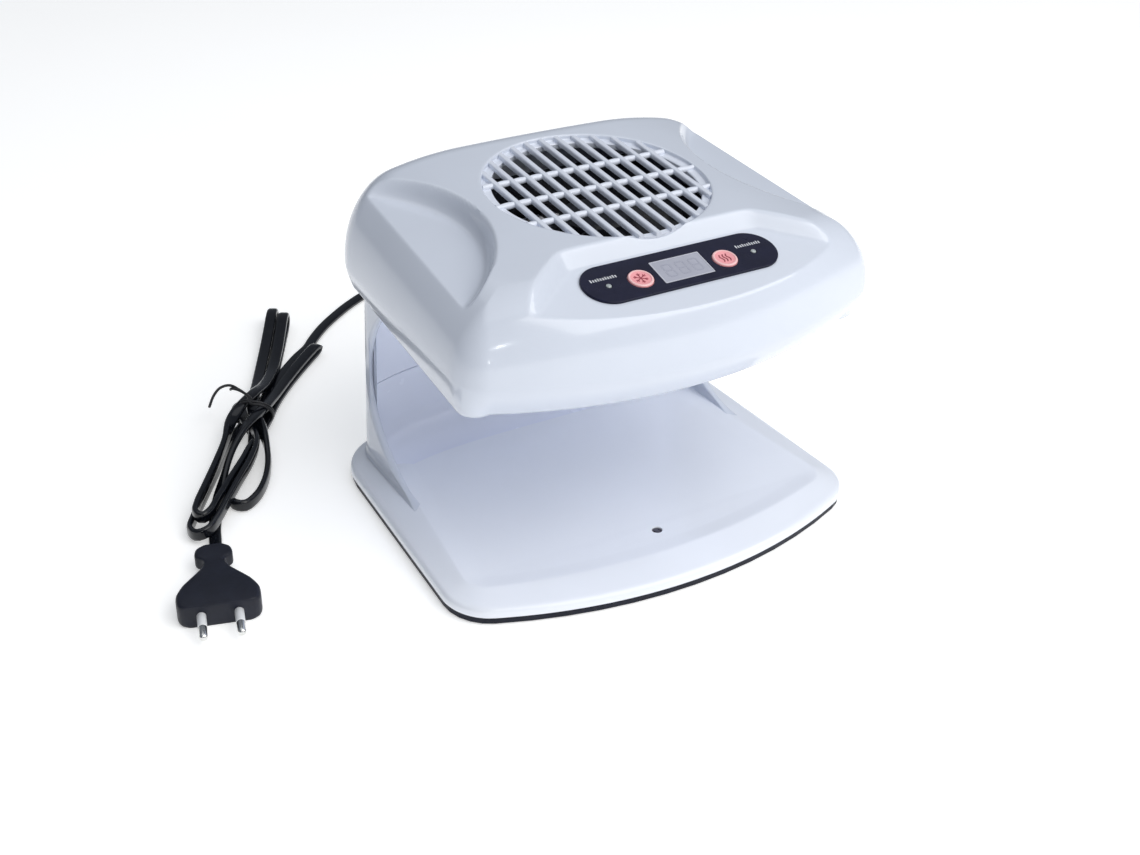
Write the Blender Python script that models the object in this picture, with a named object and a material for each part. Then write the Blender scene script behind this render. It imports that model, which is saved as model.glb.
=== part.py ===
"""Table-top nail dryer: a C-shaped body with a fan and heater in its hood, blowing down on a tray.

Every size below is in millimetres, and solid() turns it into Blender's metres. X is across the object,
-Y is its front, Z is up, and the origin is on the table under the middle of the body.
"""

import bpy
import bmesh
import numpy as np
from math import atan, cos, hypot, pi, radians, sin, sqrt
from mathutils import Matrix, Vector

MM = 0.001
GAP = 0.3

# ---------------------------------------------------------------- driving dimensions

# Base, in plan
BASE_FRONT_Y = -109.2
BASE_FRONT_R = 287.0
BASE_REAR_Y = 110.0
BASE_REAR_R = 365.0
BASE_HALF = 124.9
BASE_TAPER = -0.043
BASE_FRONT_CORNER = 28.0
BASE_REAR_CORNER = 37.0

# Base, heights
FOOT_R = 8.0
FOOT_TOP = 1.7
PLATE_BOTTOM = 2.0
PLATE_SKIRT = 4.0
SKIRT_BOTTOM = 0.7
PLATE_TOP = 4.2
SHELL_BOTTOM = 4.6
LEDGE_Z = 13.3
TRAY_Z = 12.0
WALL = 2.4

# Tray, in plan
TRAY_FRONT_Y = -86.0
TRAY_FRONT_R = 345.0
TRAY_REAR_Y = 72.0
TRAY_HALF = 104.0
TRAY_TAPER = -0.12
TRAY_CORNER = 10.0

# Hood, in plan at its widest level
HOOD_FRONT_Y = -109.0
HOOD_FRONT_R = 268.0
HOOD_REAR_Y = 100.0
HOOD_REAR_R = 1100.0
HOOD_HALF = 121.0
HOOD_TAPER = -0.04
HOOD_FRONT_CORNER = 21.0
HOOD_REAR_CORNER = 34.0

# Hood, heights
HOOD_WIDEST_Z = 139.0
HOOD_EDGE_Z = 122.3
HOOD_EDGE_TILT = 0.05
CROWN_Z = 188.4
CROWN_TILT = 0.06
CROWN_FLAT = 45.0
CROWN_FALL = 420.0
SHOULDER = 30.0
SHOULDER_POWER = 2.2

# Scooped flanks of the hood
SCOOP_X = 153.6
SCOOP_Y = 8.0
SCOOP_FLOOR_R = 77.0
SCOOP_CREASE_X = 109.0
SCOOP_CREASE_Z = 173.2
SCOOP_TILT = 0.065
SCOOP_RISE = 0.07

# Control facet: a plane that falls towards the front
FACET_Y = -74.6
FACET_Z = 173.2
FACET_SLOPE = 0.219
FACET_TOP_Y = -55.0
FACET_TOP_HALF = 53.0
FACET_SPREAD = 1.25
FACET_BANK = 0.55

# Control panel, measured on the facet
PANEL_HALF = 57.0
PANEL_HEIGHT = 28.6
PANEL_THICK = 1.0
BUTTON_X = 24.9
BUTTON_V = -1.9
BUTTON_R = 6.6
BUTTON_TRAVEL = 0.8
STEM_END = -7.2
DISPLAY_W = 29.3
DISPLAY_H = 17.4
DISPLAY_V = -0.6
LAMP_X = 42.8
LAMP_V = -1.4
LAMP_R = 1.5
BOARD_DEPTH = 13.6

# Intake
GRILLE_Y = 6.7
GRILLE_R = 60.0
GRILLE_THICK = 3.4
GRILLE_RING = 3.6
RIB_PITCH = 9.75
RIB_WIDTH = 3.7
BAR_WIDTH = 4.2
BAR_PITCH = 23.4
BAR_Y = 5.3

# Column
COLUMN_HALF = 107.5
COLUMN_REAR_Y = 95.8
COLUMN_REAR_R = 1100.0
COLUMN_CORNER = 22.0
COLUMN_FRONT_Y = -25.0
COLUMN_WALL = 2.6
COLUMN_BOTTOM = 13.9
INNER_HALF = 104.0
INNER_Y = 83.0
INNER_HOLLOW = 12.0
JOINT_Z = 60.0
FILLET = 24.0
LINER_RISE = 3.0

# Fan and heater
FAN_HALF = 59.5
FAN_BOTTOM = 148.5
FAN_TOP = 173.5
FAN_BORE = 57.0
FAN_HOLE_AT = 52.5
FAN_SPOKE = 3.0
HUB_R = 19.5
BLADE_R = 54.5
BLADES = 7
HEATER_BOTTOM = 132.5
HEATER_TOP = 147.0
HEATER_R = 57.5
OUTLET_W = 104.0
OUTLET_D = 72.0
OUTLET_Y = 2.0

# Cord
CORD_D = 6.6
GLAND_X = 34.0
GLAND_Z = 26.0


# ---------------------------------------------------------------- scene and materials

def clear_scene():
    for item in list(bpy.data.objects):
        bpy.data.objects.remove(item, do_unlink=True)


def material(name, colour, roughness, metallic=0.0):
    found = bpy.data.materials.new(name)
    found.use_nodes = True
    shader = found.node_tree.nodes["Principled BSDF"]
    shader.inputs["Base Color"].default_value = (*colour, 1.0)
    shader.inputs["Roughness"].default_value = roughness
    shader.inputs["Metallic"].default_value = metallic
    found.diffuse_color = (*colour, 1.0)
    return found


def make_materials():
    return {
        "white": material("gloss_white_shell", (0.78, 0.81, 0.88), 0.18),
        "black_plate": material("black_plate", (0.02, 0.022, 0.03), 0.45),
        "rubber": material("black_rubber", (0.02, 0.02, 0.02), 0.85),
        "overlay": material("navy_overlay", (0.012, 0.014, 0.035), 0.22),
        "display": material("display_grey", (0.38, 0.39, 0.46), 0.30),
        "button": material("pink_button", (0.84, 0.40, 0.40), 0.40),
        "lamp": material("lamp_clear", (0.55, 0.60, 0.60), 0.20),
        "board": material("green_board", (0.03, 0.20, 0.08), 0.50),
        "part_black": material("black_moulding", (0.015, 0.016, 0.022), 0.55),
        "steel": material("zinc_steel", (0.60, 0.60, 0.62), 0.35, 1.0),
        "heater_wire": material("heater_wire", (0.42, 0.38, 0.36), 0.40, 1.0),
        "mica": material("mica_plate", (0.55, 0.45, 0.32), 0.60),
        "copper": material("copper_winding", (0.70, 0.33, 0.14), 0.35, 1.0),
        "relay_blue": material("relay_blue", (0.05, 0.15, 0.50), 0.45),
        "lens": material("sensor_lens", (0.03, 0.02, 0.04), 0.10),
        "cord": material("black_cord", (0.012, 0.013, 0.016), 0.40),
        "sleeve": material("white_sleeve", (0.85, 0.86, 0.87), 0.40),
        "pin": material("nickel_pin", (0.75, 0.75, 0.73), 0.18, 1.0),
    }


# ---------------------------------------------------------------- mesh helpers

def solid(name, points, faces, skin, at=(0, 0, 0), turn=None, smooth=30):
    """One closed body from points in millimetres; at and turn place it."""
    mesh = bpy.data.meshes.new(name)
    mesh.from_pydata([Vector(p) * MM for p in points], [], faces)
    build = bmesh.new()
    build.from_mesh(mesh)
    bmesh.ops.recalc_face_normals(build, faces=build.faces)
    build.to_mesh(mesh)
    build.free()
    mesh.shade_smooth()
    mesh.set_sharp_from_angle(angle=radians(smooth))
    if skin:
        mesh.materials.append(skin)
    body = bpy.data.objects.new(name, mesh)
    bpy.context.collection.objects.link(body)
    body.matrix_world = Matrix.Translation(Vector(at) * MM) @ (turn or Matrix.Identity(4))
    return body


def joined(*shapes):
    """Several closed shapes as one mesh, for a cutter of separate pieces."""
    points, faces = [], []
    for more_points, more_faces in shapes:
        start = len(points)
        points += list(more_points)
        faces += [[i + start for i in face] for face in more_faces]
    return points, faces


def rings_shape(rings, closed=False):
    """Quads between rings of equal length; closed joins the last ring to the first, else both get caps."""
    count = len(rings[0])
    points = [tuple(p) for ring in rings for p in ring]
    faces = []
    bands = len(rings) if closed else len(rings) - 1
    for k in range(bands):
        low = k * count
        high = ((k + 1) % len(rings)) * count
        for i in range(count):
            j = (i + 1) % count
            faces.append([low + i, low + j, high + j, high + i])
    if not closed:
        faces.append(list(range(count))[::-1])
        faces.append(list(range((len(rings) - 1) * count, len(rings) * count)))
    return points, faces


def prism(outline, low, high):
    """An outline in plan between two heights, each a number or a function of (x, y)."""
    floor = low if callable(low) else (lambda x, y: low)
    roof = high if callable(high) else (lambda x, y: high)
    return rings_shape([[(x, y, floor(x, y)) for x, y in outline], [(x, y, roof(x, y)) for x, y in outline]])


def circle(r, count=32, x=0.0, y=0.0):
    turns = [2 * pi * i / count for i in range(count)]
    return [(x + r * cos(a), y + r * sin(a)) for a in turns]


def box(x0, x1, y0, y1, z0, z1):
    return prism([(x0, y0), (x1, y0), (x1, y1), (x0, y1)], z0, z1)


def rounded_box(half_x, half_y, r, x=0.0, y=0.0, steps=5):
    outline = []
    for quarter in range(4):
        sx = (1, -1, -1, 1)[quarter]
        sy = (1, 1, -1, -1)[quarter]
        for k in range(steps + 1):
            a = pi / 2 * (quarter + k / steps)
            outline.append((x + sx * (half_x - r) + r * cos(a), y + sy * (half_y - r) + r * sin(a)))
    return outline


def lathe(profile, count=24, x=0.0, y=0.0):
    """A solid turned about a vertical axis from (radius, z) pairs, with flat caps at both ends."""
    return rings_shape([[(px, py, z) for px, py in circle(r, count, x, y)] for r, z in profile])


def pipe(outer, inner, z0, z1, count=32, x=0.0, y=0.0):
    levels = [(outer, z0), (outer, z1), (inner, z1), (inner, z0)]
    return rings_shape([[(px, py, z) for px, py in circle(r, count, x, y)] for r, z in levels], closed=True)


def bezier(p0, p1, p2, p3, count):
    found = []
    for k in range(count + 1):
        t = k / count
        weights = ((1 - t) ** 3, 3 * t * (1 - t) ** 2, 3 * t * t * (1 - t), t ** 3)
        found.append(tuple(sum(w * c for w, c in zip(weights, corners)) for corners in zip(p0, p1, p2, p3)))
    return found


def combine(target, tool_shape, operation, place=None):
    """Cut a shape from the target, or join one to it, with a Boolean that stays on it."""
    tool = solid(f"{target.name}_{operation.lower()}_{len(target.modifiers)}", *tool_shape, None)
    if place:
        tool.matrix_world = place
    tool.hide_render = True
    tool.display_type = "WIRE"
    step = target.modifiers.new(operation.title(), "BOOLEAN")
    step.operation = operation
    step.object = tool
    step.solver = "EXACT"
    return target


# ---------------------------------------------------------------- outlines in plan

def arc(cx, cy, r, a0, a1, steps):
    """Points on an arc, without its last one."""
    turns = [a0 + (a1 - a0) * k / steps for k in range(steps)]
    return [(cx + r * cos(a), cy + r * sin(a)) for a in turns]


def corner_centre(half, taper, edge_y, edge_r, corner, front):
    """Centre of the corner that is tangent to the side line and to the front or rear arc."""
    middle = edge_y + edge_r if front else edge_y - edge_r
    side = -1 if front else 1
    y = edge_y - side * corner
    for _ in range(30):
        x = half + taper * y - corner * hypot(1, taper)
        y = middle + side * sqrt((edge_r - corner) ** 2 - x * x)
    return x, y, middle


def shell_outline(front_y, front_r, rear_y, rear_r, half, taper, front_corner, rear_corner, detail=1):
    """Closed outline: curved front and rear, straight tapering sides and four round corners."""
    fx, fy, f_mid = corner_centre(half, taper, front_y, front_r, front_corner, True)
    rx, ry, r_mid = corner_centre(half, taper, rear_y, rear_r, rear_corner, False)
    lean = atan(-taper)
    front_end = atan((fy - f_mid) / fx)
    rear_end = atan((ry - r_mid) / rx)
    right = arc(0, f_mid, front_r, -pi / 2, front_end, 6 * detail)
    right += arc(fx, fy, front_corner, front_end, lean, 5 * detail)
    x0, y0 = fx + front_corner * cos(lean), fy + front_corner * sin(lean)
    x1, y1 = rx + rear_corner * cos(lean), ry + rear_corner * sin(lean)
    steps = 7 * detail
    right += [(x0 + (x1 - x0) * k / steps, y0 + (y1 - y0) * k / steps) for k in range(steps)]
    right += arc(rx, ry, rear_corner, lean, rear_end, 5 * detail)
    right += arc(0, r_mid, rear_r, rear_end, pi / 2, 6 * detail)
    right.append((0, rear_y))
    left = [(-x, y) for x, y in right[1:-1]][::-1]
    return right + left


def outward(outline):
    """Unit normals of an outline that runs anticlockwise."""
    p = np.array(outline)
    along = np.roll(p, -1, axis=0) - np.roll(p, 1, axis=0)
    normal = np.stack([along[:, 1], -along[:, 0]], axis=1)
    return normal / np.linalg.norm(normal, axis=1)[:, None]


def inset(outline, amount):
    """The outline moved inwards by a number, or by one number for each point."""
    moved = np.array(outline) - outward(outline) * np.reshape(amount, (-1, 1))
    return [tuple(p) for p in moved]


def base_outline(detail=1):
    return shell_outline(BASE_FRONT_Y, BASE_FRONT_R, BASE_REAR_Y, BASE_REAR_R, BASE_HALF, BASE_TAPER,
                         BASE_FRONT_CORNER, BASE_REAR_CORNER, detail)


def tray_outline(detail=1):
    return shell_outline(TRAY_FRONT_Y, TRAY_FRONT_R, TRAY_REAR_Y, 3000.0, TRAY_HALF, TRAY_TAPER,
                         TRAY_CORNER, TRAY_CORNER, detail)


def hood_outline(detail=1):
    return shell_outline(HOOD_FRONT_Y, HOOD_FRONT_R, HOOD_REAR_Y, HOOD_REAR_R, HOOD_HALF, HOOD_TAPER,
                         HOOD_FRONT_CORNER, HOOD_REAR_CORNER, detail)


# ---------------------------------------------------------------- hood surface

def inset_distance(points, outline):
    """How far inside the outline each point lies."""
    a = np.array(outline)
    b = np.roll(a, -1, axis=0)
    span = b - a
    rel = points[:, None, :] - a[None]
    t = np.clip((rel * span).sum(2) / (span ** 2).sum(1), 0, 1)
    nearest = a[None] + t[:, :, None] * span[None]
    return np.linalg.norm(points[:, None, :] - nearest, axis=2).min(1)


def soft_min(a, b, reach):
    """The lower of two heights, rounded where they are within reach of each other."""
    mix = np.clip(0.5 + 0.5 * (b - a) / reach, 0, 1)
    return b * (1 - mix) + a * mix - reach * mix * (1 - mix)


def crown(x, y):
    spread = np.maximum(np.abs(x) - CROWN_FLAT, 0)
    return CROWN_Z + CROWN_TILT * (y - GRILLE_Y) - spread ** 2 / CROWN_FALL


def scoop(x, y):
    """Floor of the scooped flanks, rising steeply past the rim's circle."""
    reach = np.hypot(np.abs(x) - SCOOP_X, y - SCOOP_Y)
    floor = SCOOP_CREASE_Z + SCOOP_TILT * (y - SCOOP_Y) + SCOOP_RISE * (SCOOP_CREASE_X - np.abs(x))
    return floor + np.maximum(reach - SCOOP_FLOOR_R, 0) * 1.3


def facet_plane(y):
    return FACET_Z + FACET_SLOPE * (y - FACET_Y)


def facet(x, y):
    """The control facet, a trapezium that widens to the front, with banks that rise around it."""
    beyond_top = y - FACET_TOP_Y
    beyond_side = (np.abs(x) - FACET_TOP_HALF + FACET_SPREAD * beyond_top) / hypot(1, FACET_SPREAD)
    outside = np.maximum(np.maximum(beyond_top, beyond_side), 0)
    return facet_plane(y) + FACET_BANK * outside


def hood_height(x, y, outline):
    """Height of the hood's top over the plan, from its widest level inwards."""
    points = np.stack([x, y], axis=1)
    edge = np.clip(1 - inset_distance(points, outline) / SHOULDER, 0, 1)
    top = crown(x, y)
    rounded = HOOD_WIDEST_Z + (top - HOOD_WIDEST_Z) * (1 - edge ** SHOULDER_POWER) ** (1 / SHOULDER_POWER)
    carved = soft_min(soft_min(rounded, scoop(x, y), 2.0), facet(x, y), 2.0)
    return np.where(edge > 0.9, np.minimum(rounded, carved), carved)


def edge_plane(y):
    """Height of the hood's lower edge."""
    return HOOD_EDGE_Z + HOOD_EDGE_TILT * y


def under_turn(outline, share):
    """Inset of the side below the widest level: share 0 is that level, 1 is the lower edge."""
    facing = outward(outline)[:, 1]
    deepest = 4.0 + 9.0 * np.clip(-facing, 0, 1) ** 2 - 3.0 * np.clip(facing, 0, 1)
    return deepest * share ** 1.4


def hood_side_ring(outline, share):
    ring = inset(outline, under_turn(outline, share))
    return [(x, y, HOOD_WIDEST_Z + (edge_plane(y) - HOOD_WIDEST_Z) * share) for x, y in ring]


def hood_rings(detail, levels, side_levels, hole_r):
    """The hood's outer skin, from the intake hole out to the widest level and down to the lower edge."""
    outline = hood_outline(detail)
    rim = np.array(outline)
    fine = hood_outline(8)
    from_centre = np.arctan2(rim[:, 1] - GRILLE_Y, rim[:, 0])
    hole = np.stack([hole_r * np.cos(from_centre), GRILLE_Y + hole_r * np.sin(from_centre)], axis=1)
    rings = []
    for k in range(levels):
        share = 1 - (1 - k / levels) ** 1.7
        flat = hole + (rim - hole) * share
        heights = hood_height(flat[:, 0], flat[:, 1], fine)
        rings.append(np.column_stack([flat, heights]))
    for k in range(side_levels + 1):
        rings.append(np.array(hood_side_ring(outline, k / side_levels)))
    return rings


def thickened(rings, thickness):
    """The same rings moved to the inner face of a wall."""
    grid = np.array(rings)
    around = np.roll(grid, -1, axis=1) - np.roll(grid, 1, axis=1)
    across = np.gradient(grid, axis=0)
    normal = np.cross(around, across)
    normal /= np.linalg.norm(normal, axis=2)[:, :, None]
    if normal[0, 0, 2] > 0:
        normal = -normal
    return grid + normal * thickness


# ---------------------------------------------------------------- places on the control facet

def facet_frame():
    """Frame whose X runs across the facet, Y up its slope and Z out of it."""
    return Matrix.Translation(Vector((0, FACET_Y, FACET_Z)) * MM) @ Matrix.Rotation(atan(FACET_SLOPE), 4, "X")


def grille_frame():
    return Matrix.Translation(Vector((0, GRILLE_Y, CROWN_Z)) * MM) @ Matrix.Rotation(atan(CROWN_TILT), 4, "X")


def empty(name, place):
    holder = bpy.data.objects.new(name, None)
    bpy.context.collection.objects.link(holder)
    holder.matrix_world = place
    return holder


def on(holder, body):
    """Parent a body to a holder and keep its local place under it."""
    local = body.matrix_world.copy()
    body.parent = holder
    body.matrix_parent_inverse = Matrix.Identity(4)
    body.matrix_basis = local
    return body


# ---------------------------------------------------------------- hood

COVER_POSTS = ((-88.0, -66.0), (88.0, -66.0), (-100.5, 40.0), (100.5, 40.0))
POST_R = 4.5
PILOT_R = 1.6


def hood_cover(skin):
    outer = hood_rings(1, 12, 3, GRILLE_R + 1.2)
    inner = thickened(outer, WALL)
    rings = [[tuple(point) for point in ring] for ring in outer + list(inner[::-1])]
    cover = solid("hood_cover", *rings_shape(rings, closed=True), skin)
    posts = [lathe([(POST_R, cover_post_foot(y)), (POST_R, wall_middle(x, y))], 12, x, y)
             for x, y in COVER_POSTS]
    posts += [lathe([(4.0, FAN_TOP + GAP), (4.0, wall_middle(x, y))], 12, x, y) for x, y in fan_holes()]
    combine(cover, joined(*posts), "UNION")
    drills = [lathe([(PILOT_R, cover_post_foot(y) - 1), (PILOT_R, cover_post_foot(y) + 12)], 10, x, y)
              for x, y in COVER_POSTS]
    drills += [lathe([(2.0, FAN_TOP - 1), (2.0, FAN_TOP + 4.5)], 10, x, y) for x, y in fan_holes()]
    combine(cover, joined(*drills), "DIFFERENCE")
    combine(cover, panel_holes(0.5, 0.4, 0.4, 8), "DIFFERENCE", facet_frame())
    return cover


def panel_holes(button_play, lamp_play, display_play, deep):
    """Holes for both buttons, both lamps and the display, in the facet's frame."""
    holes = []
    for side in (-1, 1):
        button_r, lamp_r = BUTTON_R + button_play, LAMP_R + lamp_play
        holes.append(lathe([(button_r, -deep), (button_r, deep)], 24, side * BUTTON_X, BUTTON_V))
        holes.append(lathe([(lamp_r, -deep), (lamp_r, deep)], 12, side * LAMP_X, LAMP_V))
    half_w, half_h = DISPLAY_W / 2 + display_play, DISPLAY_H / 2 + display_play
    holes.append(box(-half_w, half_w, DISPLAY_V - half_h, DISPLAY_V + half_h, -deep, deep))
    return joined(*holes)


def wall_middle(x, y):
    """Height of the middle of the cover's wall at a place in plan."""
    return float(hood_height(np.array([x]), np.array([y]), hood_outline(4))[0]) - WALL / 2


def cover_post_foot(y):
    return edge_plane(y) + 6.2


def fan_holes():
    return [(sx * FAN_HOLE_AT, GRILLE_Y + sy * FAN_HOLE_AT) for sx in (-1, 1) for sy in (-1, 1)]


def clipped_cell(x0, x1, y0, y1, r):
    """A rectangle with what lies outside a circle cut away, or nothing."""
    cell = [(x0, y0), (x1, y0), (x1, y1), (x0, y1)]
    for k in range(40):
        a = 2 * pi * (k + 0.5) / 40
        nx, ny = cos(a), sin(a)
        kept = []
        for (ax, ay), (bx, by) in zip(cell, cell[1:] + cell[:1]):
            da, db = ax * nx + ay * ny - r, bx * nx + by * ny - r
            if da <= 0:
                kept.append((ax, ay))
            if (da < 0 < db) or (db < 0 < da):
                t = da / (da - db)
                kept.append((ax + t * (bx - ax), ay + t * (by - ay)))
        cell = kept
        if len(cell) < 3:
            return []
    return cell


def area(outline):
    return abs(sum(ax * by - bx * ay for (ax, ay), (bx, by) in zip(outline, outline[1:] + outline[:1]))) / 2


def intake_grille(holder, skin):
    disc = lathe([(GRILLE_R, -GRILLE_THICK), (GRILLE_R, 0)], 64)
    grille = on(holder, solid("intake_grille", *disc, skin))
    bars = [BAR_Y + k * BAR_PITCH - GRILLE_Y for k in (-1, 0, 1)]
    rows = [(-GRILLE_R, bars[0]), (bars[0], bars[1]), (bars[1], bars[2]), (bars[2], GRILLE_R)]
    slots = []
    for k in range(-7, 7):
        for low, high in rows:
            x0 = k * RIB_PITCH + RIB_WIDTH / 2
            cell = clipped_cell(x0, x0 + RIB_PITCH - RIB_WIDTH, low + BAR_WIDTH / 2, high - BAR_WIDTH / 2,
                                GRILLE_R - GRILLE_RING)
            if cell and area(cell) > 6:
                slots.append(prism(cell, -GRILLE_THICK - 1, 1))
    combine(grille, joined(*slots), "DIFFERENCE", grille_frame())
    return grille


def control_overlay(holder, skin):
    outline = rounded_box(PANEL_HALF, PANEL_HEIGHT / 2, PANEL_HEIGHT / 2 - 0.05, steps=8)
    panel = on(holder, solid("control_overlay", *prism(outline, GAP, GAP + PANEL_THICK), skin))
    combine(panel, panel_holes(0.3, 0.3, 0.0, 3), "DIFFERENCE", facet_frame())
    return panel


def display_parts(holder, skins):
    half_w, half_h = DISPLAY_W / 2 - GAP, DISPLAY_H / 2 - GAP
    window = box(-half_w, half_w, DISPLAY_V - half_h, DISPLAY_V + half_h, -0.6, GAP + PANEL_THICK - 0.15)
    on(holder, solid("display_window", *window, skins["display"]))
    module = box(-half_w, half_w, DISPLAY_V - half_h, DISPLAY_V + half_h, GAP - BOARD_DEPTH + 1.6, -0.9)
    on(holder, solid("display_module", *module, skins["part_black"]))


def push_button(holder, name, x, skin):
    """Cap, retaining flange and stem; its origin is on its own axis."""
    spot = on(holder, empty(f"{name}_axis", Matrix.Translation(Vector((x, BUTTON_V, 0)) * MM)))
    profile = [(1.8, STEM_END), (1.8, -4.6), (8.4, -4.6), (8.4, -3.6), (BUTTON_R, -3.6), (BUTTON_R, 1.5),
               (BUTTON_R - 0.7, 2.0), (0.6, 2.0)]
    return on(spot, solid(name, *lathe(profile, 24), skin))


def tact_switch(holder, name, x, skin):
    base = -BOARD_DEPTH + 1.6 + GAP
    body = prism(rounded_box(3.1, 3.1, 0.6, steps=2), base, base + 3.0)
    button = on(holder, solid(name, *body, skin, at=(x, BUTTON_V, 0)))
    plunger = lathe([(1.7, base + 2.0), (1.7, STEM_END - BUTTON_TRAVEL - GAP)], 12)
    tool_at = facet_frame() @ Matrix.Translation(Vector((x, BUTTON_V, 0)) * MM)
    return combine(button, plunger, "UNION", tool_at)


def lamp(holder, name, x, skin):
    base = -BOARD_DEPTH + 1.6 + GAP
    profile = [(LAMP_R, base), (LAMP_R, 0.6), (LAMP_R * 0.8, 1.1), (LAMP_R * 0.4, 1.35)]
    return on(holder, solid(name, *lathe(profile, 12, x, LAMP_V), skin))


def control_board(holder, skin):
    board = prism(rounded_box(52, 10.5, 1.5, y=-0.5, steps=2), -BOARD_DEPTH, -BOARD_DEPTH + 1.6)
    return on(holder, solid("control_board", *board, skin))


def underside_outline():
    """Outline of the liner, inside the cover's wall near the lower edge."""
    outline = hood_outline(1)
    return inset(outline, under_turn(outline, 0.85) + WALL + 1.2)


def inner_wall_y(x):
    """Face of the inner back wall, hollow in the middle."""
    return INNER_Y - INNER_HOLLOW * (abs(x) / INNER_HALF) ** 4


def wall_strip(path, thickness):
    """A wall that follows a path of (y offset, z) swept across X; thickness is on its back."""
    stations = [INNER_HALF * sin(pi / 2 * k / 8) for k in range(-8, 9)]
    p = np.array(path)
    along = np.gradient(p, axis=0)
    back = np.stack([along[:, 1], -along[:, 0]], axis=1)
    back /= np.linalg.norm(back, axis=1)[:, None]
    loop = [tuple(q) for q in p] + [tuple(q) for q in (p + back * thickness)[::-1]]
    rings = [[(x, inner_wall_y(x) + dy, z) for dy, z in loop] for x in stations]
    return rings_shape(rings)


def liner_face(x, y):
    """Height of the liner's lower face, a little above the cover's edge."""
    return edge_plane(y) + LINER_RISE


def hood_underside(skin):
    plate = prism(underside_outline(), liner_face, lambda x, y: liner_face(x, y) + WALL)
    liner = solid("hood_underside", *plate, skin)
    centre_z = edge_plane(INNER_Y) + LINER_RISE + 0.2 - FILLET
    straight = [(0, JOINT_Z + GAP), (0, 80.0)]
    combine(liner, wall_strip(straight + arc(-FILLET, centre_z, FILLET, 0, pi / 2 * 1.2, 6), WALL), "UNION")
    half_w, half_d = OUTLET_W / 2, OUTLET_D / 2
    holes = [prism(rounded_box(half_w, half_d, 12, y=OUTLET_Y), 100, 140)]
    holes.append(lathe([(2.8, 100), (2.8, 140)], 16, 0, SENSOR_Y))
    holes.append(prism(rounded_box(14, 4, 3, y=91.0, steps=3), 100, 140))
    for x, y in COVER_POSTS:
        holes.append(lathe([(2.1, 100), (2.1, 140)], 12, x, y))
    return combine(liner, joined(*holes), "DIFFERENCE")


def outlet_grille(skin):
    """Framed slats that fill the outlet, a little above the liner's lower face."""
    low = edge_plane(OUTLET_Y) + 3.6
    half_w, half_d = OUTLET_W / 2 - 0.5, OUTLET_D / 2 - 0.5
    plate = prism(rounded_box(half_w, half_d, 11.5, y=OUTLET_Y), low, low + 1.8)
    grille = solid("outlet_grille", *plate, skin)
    slots = []
    for k in range(-5, 6):
        x = k * 8.6
        for y0, y1 in ((-31, -1.6), (1.6, 31)):
            slots.append(box(x - 2.9, x + 2.9, OUTLET_Y + y0, OUTLET_Y + y1, low - 5, low + 5))
    return combine(grille, joined(*slots), "DIFFERENCE")


# ---------------------------------------------------------------- fan, heater and power parts

def fan_frame(skin):
    outer = rounded_box(FAN_HALF, FAN_HALF, 6, y=GRILLE_Y, steps=3)
    frame = solid("fan_frame", *prism(outer, FAN_BOTTOM, FAN_TOP), skin)
    cuts = [lathe([(FAN_BORE, FAN_BOTTOM - 1), (FAN_BORE, FAN_TOP + 1)], 40, 0, GRILLE_Y)]
    cuts += [lathe([(2.1, FAN_BOTTOM - 1), (2.1, FAN_TOP + 1)], 10, x, y) for x, y in fan_holes()]
    combine(frame, joined(*cuts), "DIFFERENCE")
    top = FAN_BOTTOM + FAN_SPOKE
    reach = FAN_BORE + 1
    combine(frame, box(-reach, reach, GRILLE_Y - 2.5, GRILLE_Y + 2.5, FAN_BOTTOM, top), "UNION")
    combine(frame, box(-2.5, 2.5, GRILLE_Y - reach, GRILLE_Y + reach, FAN_BOTTOM, top), "UNION")
    combine(frame, lathe([(18, FAN_BOTTOM), (18, top)], 24, 0, GRILLE_Y), "UNION")
    bearing = lathe([(2.2, FAN_BOTTOM - 1), (2.2, top + 1)], 12, 0, GRILLE_Y)
    return combine(frame, bearing, "DIFFERENCE")


def blade(turn):
    """One fan blade: a thin twisted plate from inside the hub's wall to the tip."""
    rings = []
    for k in range(5):
        share = k / 4
        r = HUB_R - 1.0 + (BLADE_R - HUB_R + 1.0) * share
        pitch = radians(46 - 18 * share)
        half_chord = 9.5 + 5.5 * share
        ring = []
        for s, t in ((-1, 0.25), (0, 0.9), (1, 0.25), (1, -0.25), (0, -0.9), (-1, -0.25)):
            along, up = s * half_chord, t
            offset = along * cos(pitch) - up * sin(pitch)
            z = along * sin(pitch) + up * cos(pitch)
            a = turn + offset / r
            ring.append((r * cos(a), r * sin(a), z))
        rings.append(ring)
    return rings_shape(rings)


def fan_rotor(spin, skins):
    """Hub cup and blades; the rotor's origin is on its axis."""
    middle = (FAN_BOTTOM + FAN_TOP) / 2 + 1.0
    hub = [(HUB_R, -7.5), (HUB_R, 8.0), (HUB_R - 1.5, 9.5), (3.0, 9.5), (3.0, 7.5), (HUB_R - 1.8, 7.5),
           (HUB_R - 1.8, -7.5)]
    rings = [[(x, y, z) for x, y in circle(r, 24)] for r, z in hub]
    cup = rings_shape(rings, closed=True)
    rotor = on(spin, solid("fan_rotor", *cup, skins["part_black"], at=(0, 0, middle)))
    for k in range(BLADES):
        place = Matrix.Translation(Vector((0, GRILLE_Y, middle)) * MM)
        combine(rotor, blade(2 * pi * k / BLADES), "UNION", place)
    shaft = [(1.5, FAN_BOTTOM + 0.6), (1.5, middle + 7.2), (2.6, middle + 7.2), (2.6, middle + 9.2)]
    on(spin, solid("fan_shaft", *lathe(shaft, 12), skins["steel"]))


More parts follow.
